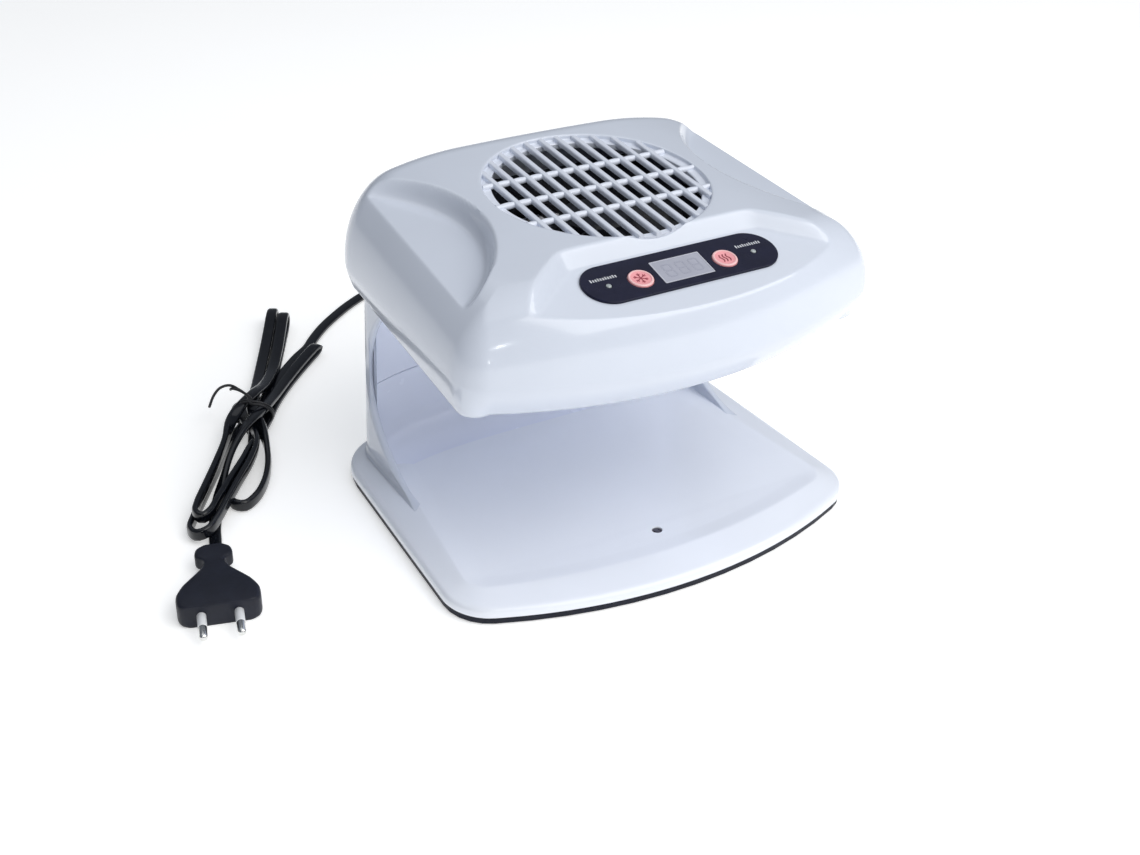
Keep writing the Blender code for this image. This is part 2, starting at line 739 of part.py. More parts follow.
def fan_motor(skin):
    low = FAN_BOTTOM + FAN_SPOKE + GAP
    return solid("fan_motor", *pipe(13.5, 1.9, low, low + 13, 24, 0, GRILLE_Y), skin)


def heater(skins):
    shroud = pipe(HEATER_R, HEATER_R - 0.8, HEATER_BOTTOM, HEATER_TOP, 40, 0, GRILLE_Y)
    solid("heater_shroud", *shroud, skins["steel"])
    half = HEATER_R - 1.2
    low, high = HEATER_BOTTOM, HEATER_BOTTOM + 10
    plate = box(-half, half, GRILLE_Y - 0.4, GRILLE_Y + 0.4, low, high)
    cross = solid("heater_cross", *plate, skins["mica"])
    combine(cross, box(-0.4, 0.4, GRILLE_Y - half, GRILLE_Y + half, low, high), "UNION")
    top = high + GAP + 1.9
    route = []
    for k in range(53):
        a = 2 * pi * k / 20
        r = 16 + 36 * k / 52
        route.append((r * cos(a), GRILLE_Y + r * sin(a), top))
    cable("heater_coil", route, 3.8, skins["heater_wire"], 2)
    z = high + GAP
    cutout = lathe([(4.5, z), (4.5, z + 4.2), (2.5, z + 4.6)], 16, 0, GRILLE_Y)
    solid("thermal_cutout", *cutout, skins["steel"])


def power_parts(skins):
    z = edge_plane(40) + 7.5
    solid("power_board", *prism(rounded_box(17, 36, 2, x=78.5, y=5, steps=2), z, z + 1.6), skins["board"])
    z += 1.6 + GAP
    core = box(66.5, 90.5, -18, 8, z, z + 20)
    solid("transformer", *core, skins["copper"])
    solid("relay", *prism(rounded_box(8, 10, 1, x=74, y=22, steps=2), z, z + 15), skins["relay_blue"])
    solid("capacitor", *lathe([(4.5, z), (4.5, z + 15), (4.0, z + 15.6)], 16, 89, 26), skins["part_black"])


# ---------------------------------------------------------------- base and column

SENSOR_Y = -69.0
SENSOR_R = 2.8


def base_shell(skin):
    outline = base_outline()
    tray = np.array(tray_outline())
    rows = [(0.0, SHELL_BOTTOM), (0.0, 7.8), (1.0, 9.4), (3.8, 10.6)]
    outer = [[(x, y, z) for x, y in inset(outline, d)] for d, z in rows]
    outer.append([(x, y, LEDGE_Z) for x, y in inset(tray_outline(), -1.6)])
    outer.append([(x, y, TRAY_Z) for x, y in tray])
    for share in (0.7, 0.3):
        outer.append([(x * share, (y + 8) * share - 8, TRAY_Z) for x, y in tray])
    inner_rows = [(WALL, SHELL_BOTTOM), (WALL, 6.6), (5.5, 8.2)]
    inner = [[(x, y, z) for x, y in inset(outline, d)] for d, z in inner_rows]
    for share in (0.75, 0.35):
        inner.append([(x * share, (y + 4) * share - 4, TRAY_Z - WALL) for x, y in tray])
    shell = solid("base_shell", *rings_shape(outer[::-1] + inner), skin)
    turn = arc(-FILLET, TRAY_Z - WALL / 2 + FILLET, FILLET, -pi / 2, pi / 10, 6)
    combine(shell, wall_strip(turn + [(0, JOINT_Z)], WALL), "UNION")
    posts = [lathe([(4.2, PLATE_TOP + 0.4), (4.2, TRAY_Z - 1.0)], 12, x, y) for x, y in plate_screws()]
    combine(shell, joined(*posts), "UNION")
    holes = [lathe([(SENSOR_R, 0), (SENSOR_R, 20)], 16, 0, SENSOR_Y)]
    holes.append(prism(rounded_box(12, 3, 2.5, y=90.5, steps=3), 0, 20))
    holes += [lathe([(1.3, PLATE_TOP - 1), (1.3, TRAY_Z - 2.2)], 10, x, y) for x, y in plate_screws()]
    return combine(shell, joined(*holes), "DIFFERENCE")


def plate_screws():
    return [(sx * x, y) for sx in (-1, 1) for x, y in ((88.0, -72.0), (98.0, 10.0), (78.0, 84.0))]


def feet_places():
    return [(sx * 96.0, y) for sx in (-1, 1) for y in (-60.0, 72.0)]


def bottom_plate(skin):
    outline = base_outline()
    shape = prism(inset(outline, 0.8), SKIRT_BOTTOM, PLATE_TOP)
    plate = solid("bottom_plate", *shape, skin)
    combine(plate, prism(inset(outline, PLATE_SKIRT), 0, PLATE_BOTTOM), "DIFFERENCE")
    holes = [lathe([(1.7, 0), (1.7, 8)], 12, x, y) for x, y in plate_screws()]
    for k in range(-3, 4):
        holes.append(prism(rounded_box(1.5, 14, 1.45, x=k * 9.0, steps=2), 0, 8))
    return combine(plate, joined(*holes), "DIFFERENCE")


def feet(skin):
    for k, (x, y) in enumerate(feet_places()):
        solid(f"foot_{k + 1}", *lathe([(FOOT_R - 0.8, 0), (FOOT_R, 0.5), (FOOT_R, FOOT_TOP)], 20, x, y), skin)


def rim_curve(steps=9):
    """Front edge of the side walls, as (y, z): up from the base, back, then forward under the hood."""
    lower = bezier((-25.0, 12.5), (40.0, 20.0), (73.0, 38.0), (73.0, 68.0), steps)
    upper = bezier((73.0, 68.0), (73.0, 92.0), (60.0, 114.0), (28.0, 128.0), steps)
    return lower + upper[1:]


def u_path(inwards):
    """The column's back and sides in plan, moved inwards, from the left front edge round to the right one."""
    half, corner, rear_r = COLUMN_HALF - inwards, COLUMN_CORNER - inwards, COLUMN_REAR_R - inwards
    x, y, middle = corner_centre(half, 0.0, COLUMN_REAR_Y - inwards, rear_r, corner, False)
    lean = atan((y - middle) / x)
    right = [(half, COLUMN_FRONT_Y)] + arc(x, y, corner, 0, lean, 7) + arc(0, middle, rear_r, lean, pi / 2, 3)
    left = [(-px, py) for px, py in right]
    return left + [(0, COLUMN_REAR_Y - inwards)] + right[::-1]


def rear_shell(skin):
    outline = u_path(0.0) + u_path(COLUMN_WALL)[::-1]
    shape = prism(outline, COLUMN_BOTTOM, lambda x, y: edge_plane(y) + 2.4)
    shell = solid("rear_shell", *shape, skin)
    front = COLUMN_FRONT_Y
    side = rim_curve() + [(28.0, 150.0), (front - 40, 150.0), (front - 40, 5.0), (front, 5.0)]
    cut = rings_shape([[(x, y, z) for y, z in side] for x in (-130.0, 130.0)])
    combine(shell, cut, "DIFFERENCE")
    hole = along_y([(5.4, 85.0), (5.4, 105.0)], 20, GLAND_X, GLAND_Z)
    return combine(shell, hole, "DIFFERENCE")


def along_y(profile, count=20, x=0.0, z=0.0):
    """A solid turned about an axis along Y from (radius, y) pairs."""
    return rings_shape([[(x + px, y, z + pz) for px, pz in circle(r, count)] for r, y in profile])


def cord_gland(skin):
    """Strain relief through the back wall: a collar inside, a neck and a tapered ringed sleeve outside."""
    face = COLUMN_REAR_Y - GLAND_X ** 2 / (2 * COLUMN_REAR_R)
    outside = face + 2 * GAP
    inside = face - COLUMN_WALL - 2 * GAP
    profile = [(7.5, inside - 2.4), (7.5, inside), (5.0, inside), (5.0, outside), (7.6, outside),
               (7.6, outside + 2.2), (6.4, outside + 3.0)]
    for k in range(4):
        y = face + 5.0 + 6.0 * k
        r = 6.2 - 0.45 * k
        profile += [(r, y), (r, y + 3.4), (r - 0.9, y + 3.8), (r - 0.9, y + 5.6)]
    profile.append((3.9, face + 30.0))
    return solid("cord_gland", *along_y(profile, 14, GLAND_X, GLAND_Z), skin)


def hand_sensor(skins):
    r = SENSOR_R - GAP
    solid("hand_sensor_lens", *lathe([(r, 6.4), (r, 10.6), (1.2, 11.2)], 16, 0, SENSOR_Y), skins["lens"])
    board = prism(rounded_box(9, 6, 1, y=SENSOR_Y, steps=2), 4.9, 6.0)
    solid("hand_sensor_board", *board, skins["board"])
    z = liner_face(0, SENSOR_Y) + 0.2
    emitter = lathe([(1.4, z), (2.4, z + 1.0), (2.4, z + 7)], 16, 0, SENSOR_Y)
    solid("hand_sensor_emitter", *emitter, skins["lens"])


# ---------------------------------------------------------------- fasteners

def screw_shape(x, y, head_z, length, shank=1.25, head=3.0, depth=2.0):
    """A pan-head screw driven upwards, head below."""
    return lathe([(head - 0.6, head_z), (head, head_z + 0.6), (head, head_z + depth), (shank, head_z + depth),
                  (shank, head_z + depth + length - 1), (shank * 0.3, head_z + depth + length)], 12, x, y)


def screws(skin):
    for k, (x, y) in enumerate(plate_screws()):
        head_z = PLATE_BOTTOM - GAP - 1.4
        solid(f"plate_screw_{k + 1}", *screw_shape(x, y, head_z, 6.2, 0.95, 2.8, 1.4), skin)
    for k, (x, y) in enumerate(COVER_POSTS):
        head_z = liner_face(x, y) - GAP - 2.2
        solid(f"cover_screw_{k + 1}", *screw_shape(x, y, head_z, 12.0, 1.25, 3.2, 1.9), skin)
    for k, (x, y) in enumerate(fan_holes()):
        solid(f"fan_screw_{k + 1}", *screw_shape(x, y, FAN_BOTTOM - GAP - 2.0, 28.6, 1.6, 3.2, 2.0), skin)


# ---------------------------------------------------------------- mains cord

# Points that the loose stretch of cord passes, from the gland to the hank
CORD_ROUTE = ((34, 126.0, 26), (34, 137, 25.2), (35, 151, 20), (36, 166, 12), (38, 184, 5.6),
              (40, 205, 3.6), (42, 226, 3.6), (42, 247, 3.6), (37, 269, 3.6), (24, 285, 3.6), (6, 291.5, 3.6),
              (-14, 287.5, 3.6), (-33, 276.5, 3.6), (-49.6, 264.5, 3.6), (-64, 252.3, 3.6), (-75.2, 240, 3.7),
              (-83.3, 230.1, 3.9))
LEAD_ROUTE = ((-210.0, 49.4, 4.7), (-212.3, 45.2, 5.3), (-214.6, 41.0, 6.2), (-217.0, 36.7, 6.9))
HANK_TOP = (-94.0, 269.5, 13.5)
HANK_WAIST = (-153.0, 156.5, 13.0)
HANK_ARM = (-90.0, 221.5, 10.0)
HANK_LEFT = (-203.5, 66.5, 17.0)
HANK_RIGHT = (-174.0, 94.0, 20.0)
HANK_BOTTOM_Z = 1.9
HANK_HIGH = 15.5


def even_points(points, spacing):
    """Points at an even spacing along a Catmull-Rom curve through the given ones."""
    p = [np.array(q, float) for q in points]
    p = [2 * p[0] - p[1]] + p + [2 * p[-1] - p[-2]]
    dense = []
    for a, b, c, d in zip(p, p[1:], p[2:], p[3:]):
        for k in range(16):
            t = k / 16
            dense.append(0.5 * (2 * b + (c - a) * t + (2 * a - 5 * b + 4 * c - d) * t ** 2
                                + (3 * b - 3 * c + d - a) * t ** 3))
    dense.append(p[-2])
    dense = np.array(dense)
    run = np.concatenate([[0], np.cumsum(np.linalg.norm(np.diff(dense, axis=0), axis=1))])
    count = max(2, round(run[-1] / spacing) + 1)
    even = np.linspace(0, run[-1], count)
    columns = [np.interp(even, run, dense[:, axis]) for axis in range(3)]
    return [tuple(float(column[k]) for column in columns) for k in range(count)]


def cable(name, points, diameter, skin, sides=2):
    """A round cable along the points, as a curve with filled ends."""
    data = bpy.data.curves.new(name, "CURVE")
    data.dimensions = "3D"
    data.bevel_depth = diameter / 2 * MM
    data.bevel_resolution = sides
    data.use_fill_caps = True
    spline = data.splines.new("POLY")
    spline.points.add(len(points) - 1)
    for point, place in zip(spline.points, points):
        point.co = (place[0] * MM, place[1] * MM, place[2] * MM, 1)
    data.materials.append(skin)
    body = bpy.data.objects.new(name, data)
    bpy.context.collection.objects.link(body)
    return body


def hull_of_circles(circles, steps=10):
    """Convex outline around several circles, each (x, y, radius)."""
    points = []
    for x, y, r in circles:
        points += circle(r, 4 * steps, x, y)
    points = sorted(set((round(x, 4), round(y, 4)) for x, y in points))

    def half(run):
        kept = []
        for p in run:
            while len(kept) > 1 and ((kept[-1][0] - kept[-2][0]) * (p[1] - kept[-2][1])
                                     - (kept[-1][1] - kept[-2][1]) * (p[0] - kept[-2][0])) <= 0:
                kept.pop()
            kept.append(p)
        return kept[:-1]

    return half(points) + half(points[::-1])


def cord_hank(skin):
    """Outer shape of the folded cord: two long lobes and a short arm that meet at the tied waist."""
    top = HANK_BOTTOM_Z + HANK_HIGH
    hank = solid("cord_hank", *prism(hull_of_circles((HANK_TOP, HANK_WAIST), 4), HANK_BOTTOM_Z, top), skin)
    lower = prism(hull_of_circles((HANK_WAIST, HANK_LEFT, HANK_RIGHT), 4), HANK_BOTTOM_Z - 0.1, top + 0.1)
    combine(hank, lower, "UNION")
    arm = prism(hull_of_circles((HANK_ARM, HANK_WAIST), 4), HANK_BOTTOM_Z + 0.1, top - 5.0)
    return combine(hank, arm, "UNION")


def twist_tie(skin):
    """Thin wire once around the waist, its two ends standing up and bent over."""
    wx, wy, r = HANK_WAIST
    axis = Vector((HANK_TOP[0] - wx, HANK_TOP[1] - wy, 0)).normalized()
    side = Vector((axis.y, -axis.x, 0))
    low, high = 0.75, HANK_BOTTOM_Z + HANK_HIGH + 1.1
    reach = r + 3.4
    loop = [(0.0, high), (reach, high), (reach, low), (-reach, low), (-reach, high), (-1.5, high)]
    middle = Vector((wx, wy, 0)) + axis * 1.0
    points = []
    for k, (s, z) in enumerate(loop):
        place = middle + side * s + axis * (k * 0.8 - 2.0)
        points.append((place.x, place.y, z))
    points.insert(0, (points[0][0] - 2.0, points[0][1] + 9.0, high + 4.0))
    tail = [(-152.0, 171.0, high + 2.0), (-156.5, 182.0, high + 5.0), (-162.0, 185.5, high + 5.0),
            (-168.0, 178.5, high + 3.0), (-172.0, 170.5, high + 1.5)]
    return cable("twist_tie", points + tail, 1.3, skin, 2)


PLUG_TURN = radians(-15.5)
PLUG_AT = (-229.3, -7.5)
PLUG_HALF = 21.5
PLUG_FACE = -12.0
PLUG_HIGH = 13.5
PIN_PITCH = 19.0
PIN_R = 2.4
PIN_LENGTH = 19.0
SLEEVE_LENGTH = 10.0


def plug_frame():
    """Plug's own frame: its pins point along -Y and it lies on the table."""
    return Matrix.Translation(Vector((PLUG_AT[0], PLUG_AT[1], 0)) * MM) @ Matrix.Rotation(PLUG_TURN, 4, "Z")


def plug_outline(grow=0.0):
    """Flat plug body in plan: wide at the pins' face, drawn in to a neck with a collar behind it."""
    right = [(17.0, PLUG_FACE), (PLUG_HALF, -7.0), (PLUG_HALF, 2.0), (17.0, 12.0), (8.8, 25.0), (7.0, 31.0),
             (10.0, 34.0), (10.0, 40.0), (6.6, 45.0)]
    left = [(-x, y) for x, y in right[::-1]]
    return [(x + grow * (1 if x > 0 else -1), y) for x, y in right + left]


def plug(skins):
    middle = PLUG_HIGH / 2 + 0.2
    rings = [[(x, y, z) for x, y in plug_outline(grow)] for z, grow in
             ((0.2, -1.6), (1.6, 0.0), (PLUG_HIGH - 1.2, 0.0), (PLUG_HIGH + 0.2, -1.6))]
    body = solid("plug_body", *rings_shape(rings), skins["cord"])
    body.matrix_world = plug_frame()
    for side, word in ((-1, "left"), (1, "right")):
        x = side * PIN_PITCH / 2
        root = PLUG_FACE - GAP
        bare = root - SLEEVE_LENGTH
        end = PLUG_FACE - PIN_LENGTH
        sleeve = along_y([(PIN_R, root), (PIN_R, bare)], 14, x, middle)
        piece = solid(f"pin_sleeve_{word}", *sleeve, skins["sleeve"])
        piece.matrix_world = plug_frame()
        tip = along_y([(PIN_R, bare - GAP), (PIN_R, end + 1.5), (PIN_R - 0.9, end)], 14, x, middle)
        piece = solid(f"plug_pin_{word}", *tip, skins["pin"])
        piece.matrix_world = plug_frame()


def mains_cord(skins):
    cable("power_cord", even_points(CORD_ROUTE, 13.0), CORD_D, skins["cord"])
    cable("cord_lead", even_points(LEAD_ROUTE, 6.0), CORD_D, skins["cord"])
    cord_hank(skins["cord"])
    twist_tie(skins["cord"])
    plug(skins)


# ---------------------------------------------------------------- assembly

def main():
    clear_scene()
    skins = make_materials()
    panel = empty("control_facet", facet_frame())
    crown_top = empty("intake_plane", grille_frame())
    spin = empty("fan_axis", Matrix.Translation(Vector((0, GRILLE_Y, 0)) * MM))
    hood_cover(skins["white"])
    intake_grille(crown_top, skins["white"])
    control_overlay(panel, skins["overlay"])
    display_parts(panel, skins)
    for name, side in (("cool", -1), ("hot", 1)):
        push_button(panel, f"{name}_button", side * BUTTON_X, skins["button"])
        tact_switch(panel, f"{name}_switch", side * BUTTON_X, skins["part_black"])
        lamp(panel, f"{name}_lamp", side * LAMP_X, skins["lamp"])
    control_board(panel, skins["board"])
    hood_underside(skins["white"])
    outlet_grille(skins["white"])
    fan_frame(skins["part_black"])
    fan_rotor(spin, skins)
    fan_motor(skins["copper"])
    heater(skins)
    power_parts(skins)
    base_shell(skins["white"])
    bottom_plate(skins["black_plate"])
    feet(skins["rubber"])
    rear_shell(skins["white"])
    cord_gland(skins["cord"])
    hand_sensor(skins)
    screws(skins["steel"])
    mains_cord(skins)
    bpy.context.view_layer.update()


main()
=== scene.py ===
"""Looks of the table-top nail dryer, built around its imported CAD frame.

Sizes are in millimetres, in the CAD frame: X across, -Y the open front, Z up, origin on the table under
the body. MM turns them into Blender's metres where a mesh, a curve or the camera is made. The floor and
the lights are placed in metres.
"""

from math import atan, cos, hypot, pi, radians, sin, sqrt

import bmesh
import bpy
import numpy as np
from mathutils import Matrix, Quaternion, Vector
from mathutils.geometry import tessellate_polygon


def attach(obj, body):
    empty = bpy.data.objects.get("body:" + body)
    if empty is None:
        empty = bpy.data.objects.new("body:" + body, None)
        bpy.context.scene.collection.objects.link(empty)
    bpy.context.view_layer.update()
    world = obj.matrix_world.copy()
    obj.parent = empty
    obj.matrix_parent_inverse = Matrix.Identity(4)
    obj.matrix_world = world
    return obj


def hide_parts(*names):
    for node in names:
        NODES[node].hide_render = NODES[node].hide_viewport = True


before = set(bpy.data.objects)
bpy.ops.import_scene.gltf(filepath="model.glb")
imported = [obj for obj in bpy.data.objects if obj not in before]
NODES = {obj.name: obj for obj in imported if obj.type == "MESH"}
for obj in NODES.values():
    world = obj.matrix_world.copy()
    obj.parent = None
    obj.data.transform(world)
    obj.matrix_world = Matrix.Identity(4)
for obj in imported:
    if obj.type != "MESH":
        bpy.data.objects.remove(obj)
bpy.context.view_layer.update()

MM = 0.001

# ---------------------------------------------------------------- sizes
# Most are the CAD model's. The facet's banks, the ribs, the column's front, the plug's neck and the cord
# are shaped more closely here, and the base is 0.03 mm narrower on each side.

BASE = dict(front_y=-109.2, front_r=287.0, rear_y=110.0, rear_r=365.0, half=124.87, taper=-0.043,
            front_corner=28.0, rear_corner=37.0)
TRAY = dict(front_y=-86.0, front_r=345.0, rear_y=72.0, rear_r=3000.0, half=104.0, taper=-0.12,
            front_corner=10.0, rear_corner=10.0)
HOOD = dict(front_y=-109.0, front_r=268.0, rear_y=100.0, rear_r=1100.0, half=121.0, taper=-0.04,
            front_corner=21.0, rear_corner=34.0)

SHELL_BOTTOM = 4.6
BAND_INSET, BAND_TOP = 4.2, 10.65
LEDGE_Z, TRAY_Z = 13.3, 12.0
WALL = 2.4

HOOD_WIDEST_Z = 139.0
EDGE_Z, EDGE_TILT = 122.3, 0.05
CROWN_Z, CROWN_TILT, CROWN_FLAT, CROWN_FALL = 188.4, 0.06, 45.0, 420.0
SHOULDER, SHOULDER_POWER = 30.0, 2.2

SCOOP_X, SCOOP_Y, SCOOP_R = 153.6, 8.0, 77.0
SCOOP_CREASE_X, SCOOP_CREASE_Z, SCOOP_TILT, SCOOP_RISE = 109.0, 173.2, 0.065, 0.07

FACET_Y, FACET_Z, FACET_SLOPE = -74.6, 173.2, 0.219
FACET_TOP_Y, FACET_TOP_HALF, FACET_SPREAD, FACET_BANK = -58.0, 54.6, 1.3, 1.15
FACET_CORNER, FACET_TOE, CARVE_EDGE = 2.5, 0.4, 0.8

PANEL_HALF, PANEL_HEIGHT = 57.0, 28.6
PANEL_TOP, INK, BUTTON_FACE, SYMBOL_TOP = 1.3, 0.04, 1.6, 1.72
BUTTON_X, BUTTON_V, BUTTON_R = 24.9, -1.9, 6.6
DISPLAY_W, DISPLAY_H, DISPLAY_V = 29.3, 17.4, -0.6
LAMP_X, LAMP_V, LAMP_R = 42.8, -1.4, 1.5

GRILLE_Y, HOLE_R = 6.7, 60.6
RIB_PITCH, RIB_WIDTH = 9.75, 3.3
BAR_PITCH, BAR_Y = 23.4, 5.3

COLUMN_HALF, COLUMN_REAR_Y, COLUMN_REAR_R, COLUMN_CORNER = 107.5, 95.8, 1100.0, 22.0
RIM_FRONT_Y, RIM_WIDE, COLUMN_DRAFT = 6.0, 4.6, 0.03
INNER_HALF, INNER_Y, INNER_HOLLOW = 104.0, 83.0, 12.0
JOINT_Z, FILLET, LINER_RISE = 60.0, 24.0, 3.0
OUTLET_W, OUTLET_D, OUTLET_Y = 104.0, 72.0, 2.0
SENSOR_Y, SENSOR_R = -69.0, 2.8

GLAND_X, GLAND_Z = 34.0, 26.0
CORD_WIDE, CORD_THICK = 7.2, 4.1
PLUG_AT, PLUG_TURN = (-229.3, -7.5), radians(-15.5)
PLUG_HALF, PLUG_FACE, PLUG_HIGH = 21.5, -12.0, 13.5
PIN_PITCH, PIN_R, PIN_LENGTH, SLEEVE_LENGTH = 19.0, 2.4, 19.0, 10.0


# ---------------------------------------------------------------- materials

def give(node, values):
    """Set a node's inputs by name."""
    for name, value in values.items():
        node.inputs[name].default_value = value


def noise(tree, size_mm, detail=2.0, stretch=(1, 1, 1)):
    """Fractal noise on the piece's own coordinates, with features about this size."""
    place = tree.nodes.new("ShaderNodeTexCoord")
    mapping = tree.nodes.new("ShaderNodeMapping")
    mapping.inputs["Scale"].default_value = stretch
    texture = tree.nodes.new("ShaderNodeTexNoise")
    give(texture, {"Scale": 1 / (size_mm * MM), "Detail": detail})
    tree.links.new(place.outputs["Object"], mapping.inputs["Vector"])
    tree.links.new(mapping.outputs["Vector"], texture.inputs["Vector"])
    return texture.outputs["Fac"]


def between(tree, factor, low, high):
    """A number from low to high as the factor goes over its middle range."""
    span = tree.nodes.new("ShaderNodeMapRange")
    give(span, {"From Min": 0.3, "From Max": 0.7, "To Min": low, "To Max": high})
    tree.links.new(factor, span.inputs["Value"])
    return span.outputs["Result"]


def blend_colours(tree, factor, first, second):
    mix = tree.nodes.new("ShaderNodeMix")
    mix.data_type = "RGBA"
    give(mix, {"A": (*first, 1), "B": (*second, 1)})
    tree.links.new(factor, mix.inputs["Factor"])
    return mix.outputs["Result"]


def new_material(name):
    made = bpy.data.materials.new(name)
    made.use_nodes = True
    return made, made.node_tree, made.node_tree.nodes["Principled BSDF"]


def surface(name, colour, roughness, vary=0.05, patch=35.0, grain=0.02, grain_size=0.5, metallic=0.0,
            shine=0.5, coat=0.0, stretch=(1, 1, 1), haze=0.05):
    """A moulded or machined surface: slow colour drift, uneven gloss and a fine relief of grain mm."""
    made, tree, shader = new_material(name)
    darker = [c * (1 - vary) for c in colour]
    lighter = [min(1.0, c * (1 + vary)) for c in colour]
    drift = between(tree, noise(tree, patch, 3.0), 0, 1)
    tree.links.new(blend_colours(tree, drift, darker, lighter), shader.inputs["Base Color"])
    smoothest, roughest = max(0.02, roughness - haze), roughness + haze
    gloss = between(tree, noise(tree, patch * 0.4, 4.0, stretch), smoothest, roughest)
    tree.links.new(gloss, shader.inputs["Roughness"])
    relief(tree, shader, noise(tree, grain_size, 2.0, stretch), grain * MM)
    give(shader, {"Metallic": metallic, "Specular IOR Level": shine, "Coat Weight": coat,
                  "Coat Roughness": 0.06})
    return made


def relief(tree, shader, height, depth):
    """Bump the surface by a height, up to a depth in metres."""
    bump = tree.nodes.new("ShaderNodeBump")
    give(bump, {"Distance": depth, "Strength": 1.0})
    tree.links.new(height, bump.inputs["Height"])
    tree.links.new(bump.outputs["Normal"], shader.inputs["Normal"])


def circuit_board_material():
    """Green solder mask with paler tracks and pads."""
    made, tree, shader = new_material("circuit_board")
    place = tree.nodes.new("ShaderNodeTexCoord")
    bricks = tree.nodes.new("ShaderNodeTexBrick")
    give(bricks, {"Scale": 1 / (9 * MM), "Mortar Size": 0.045, "Color1": (0.012, 0.11, 0.04, 1),
                  "Color2": (0.018, 0.15, 0.055, 1), "Mortar": (0.05, 0.27, 0.10, 1)})
    tree.links.new(place.outputs["Object"], bricks.inputs["Vector"])
    tree.links.new(bricks.outputs["Color"], shader.inputs["Base Color"])
    tree.links.new(between(tree, noise(tree, 3.0), 0.28, 0.45), shader.inputs["Roughness"])
    return made


def winding_material():
    """Enamelled wire laid turn beside turn."""
    made, tree, shader = new_material("copper_winding")
    place = tree.nodes.new("ShaderNodeTexCoord")
    wave = tree.nodes.new("ShaderNodeTexWave")
    wave.bands_direction = "Z"
    give(wave, {"Scale": 0.3 / (0.5 * MM), "Distortion": 0.4})
    tree.links.new(place.outputs["Object"], wave.inputs["Vector"])
    colour = blend_colours(tree, wave.outputs["Fac"], (0.22, 0.075, 0.022), (0.62, 0.25, 0.09))
    tree.links.new(colour, shader.inputs["Base Color"])
    relief(tree, shader, wave.outputs["Fac"], 0.2 * MM)
    tree.links.new(between(tree, noise(tree, 2.0), 0.25, 0.4), shader.inputs["Roughness"])
    shader.inputs["Metallic"].default_value = 0.8
    return made


POLISH = dict(vary=0.015, patch=60, grain=0.012, grain_size=1.4, haze=0.03)
WHITE = surface("gloss_white", (0.655, 0.70, 0.79), 0.16, coat=0.35, **POLISH)
# Base copy of the shell's one white plastic, painted lighter than the hood's: painted light on the band,
# ledge and tray under the hood's shade.
WHITE_BASE_PAINTED_LIGHTER = surface("gloss_white_base_painted_lighter", (0.85, 0.885, 0.955), 0.18, coat=0.3, **POLISH)
# Inside copy of the same white plastic, bluer and darker than the base's: painted shade of the hollow under
# the hood.
WHITE_INSIDE_PAINTED_SHADE = surface("gloss_white_inside_painted_shade", (0.79, 0.83, 0.95), 0.24, vary=0.02, patch=50, grain=0.012,
                       grain_size=1.4, coat=0.15, haze=0.04)
WHITE_GRILLE = surface("gloss_white_grille", (0.72, 0.76, 0.85), 0.22, vary=0.03, patch=8, grain=0.02,
                       grain_size=0.9, coat=0.2)
PLATE_BLACK = surface("plate_black", (0.010, 0.012, 0.022), 0.45, vary=0.2, patch=12, grain=0.05,
                      grain_size=0.6, shine=0.2)
RUBBER = surface("foot_rubber", (0.018, 0.018, 0.019), 0.8, vary=0.3, patch=4, grain=0.08, grain_size=0.5)
OVERLAY = surface("overlay_navy", (0.008, 0.009, 0.028), 0.32, vary=0.15, patch=9, grain=0.008,
                  grain_size=0.4, shine=0.18)
DISPLAY = surface("display_grey", (0.37, 0.38, 0.455), 0.16, vary=0.05, patch=14, grain=0.004, grain_size=0.5,
                  coat=0.4)
DISPLAY_FRAME = surface("display_frame", (0.50, 0.51, 0.58), 0.3, vary=0.05, patch=5)
SEGMENT = surface("display_segment", (0.335, 0.345, 0.42), 0.2, vary=0.04, patch=3)
BUTTON_PINK = surface("button_pink", (0.86, 0.36, 0.385), 0.42, vary=0.05, patch=5, grain=0.02,
                      grain_size=0.35)
BUTTON_RIM = surface("button_rim", (0.90, 0.56, 0.56), 0.3, vary=0.04, patch=4)
SYMBOL_RED = surface("symbol_red", (0.36, 0.055, 0.08), 0.4, vary=0.12, patch=2)
PRINT_WHITE = surface("print_white", (0.72, 0.74, 0.78), 0.45, vary=0.12, patch=1.5)
LAMP_CLEAR = surface("lamp_clear", (0.36, 0.40, 0.40), 0.12, vary=0.2, patch=1.2, coat=0.6)
MOULDING = surface("black_moulding", (0.006, 0.007, 0.012), 0.5, vary=0.25, patch=10, grain=0.04,
                   grain_size=0.7)
STEEL = surface("zinc_steel", (0.58, 0.58, 0.60), 0.32, vary=0.12, patch=4, grain=0.02, grain_size=0.3,
                metallic=1.0, stretch=(1, 1, 6))
HEATER_WIRE = surface("heater_wire", (0.40, 0.35, 0.33), 0.42, vary=0.2, patch=3, metallic=1.0)
MICA = surface("mica_sheet", (0.53, 0.43, 0.30), 0.5, vary=0.18, patch=5, grain=0.03, grain_size=0.8)
RELAY_BLUE = surface("relay_blue", (0.04, 0.13, 0.46), 0.38, vary=0.08, patch=6)
LENS = surface("sensor_lens", (0.02, 0.014, 0.03), 0.06, vary=0.2, patch=2, coat=0.8)
CORD_BLACK = surface("cord_black", (0.004, 0.005, 0.008), 0.17, vary=0.2, patch=14, grain=0.03,
                     grain_size=0.9, coat=0.15, haze=0.07, shine=0.4)
PLUG_BLACK = surface("plug_black", (0.010, 0.012, 0.022), 0.42, vary=0.15, patch=8, grain=0.05,
                     grain_size=0.45, shine=0.3)
TIE_BLACK = surface("tie_black", (0.01, 0.01, 0.012), 0.35, vary=0.2, patch=3)
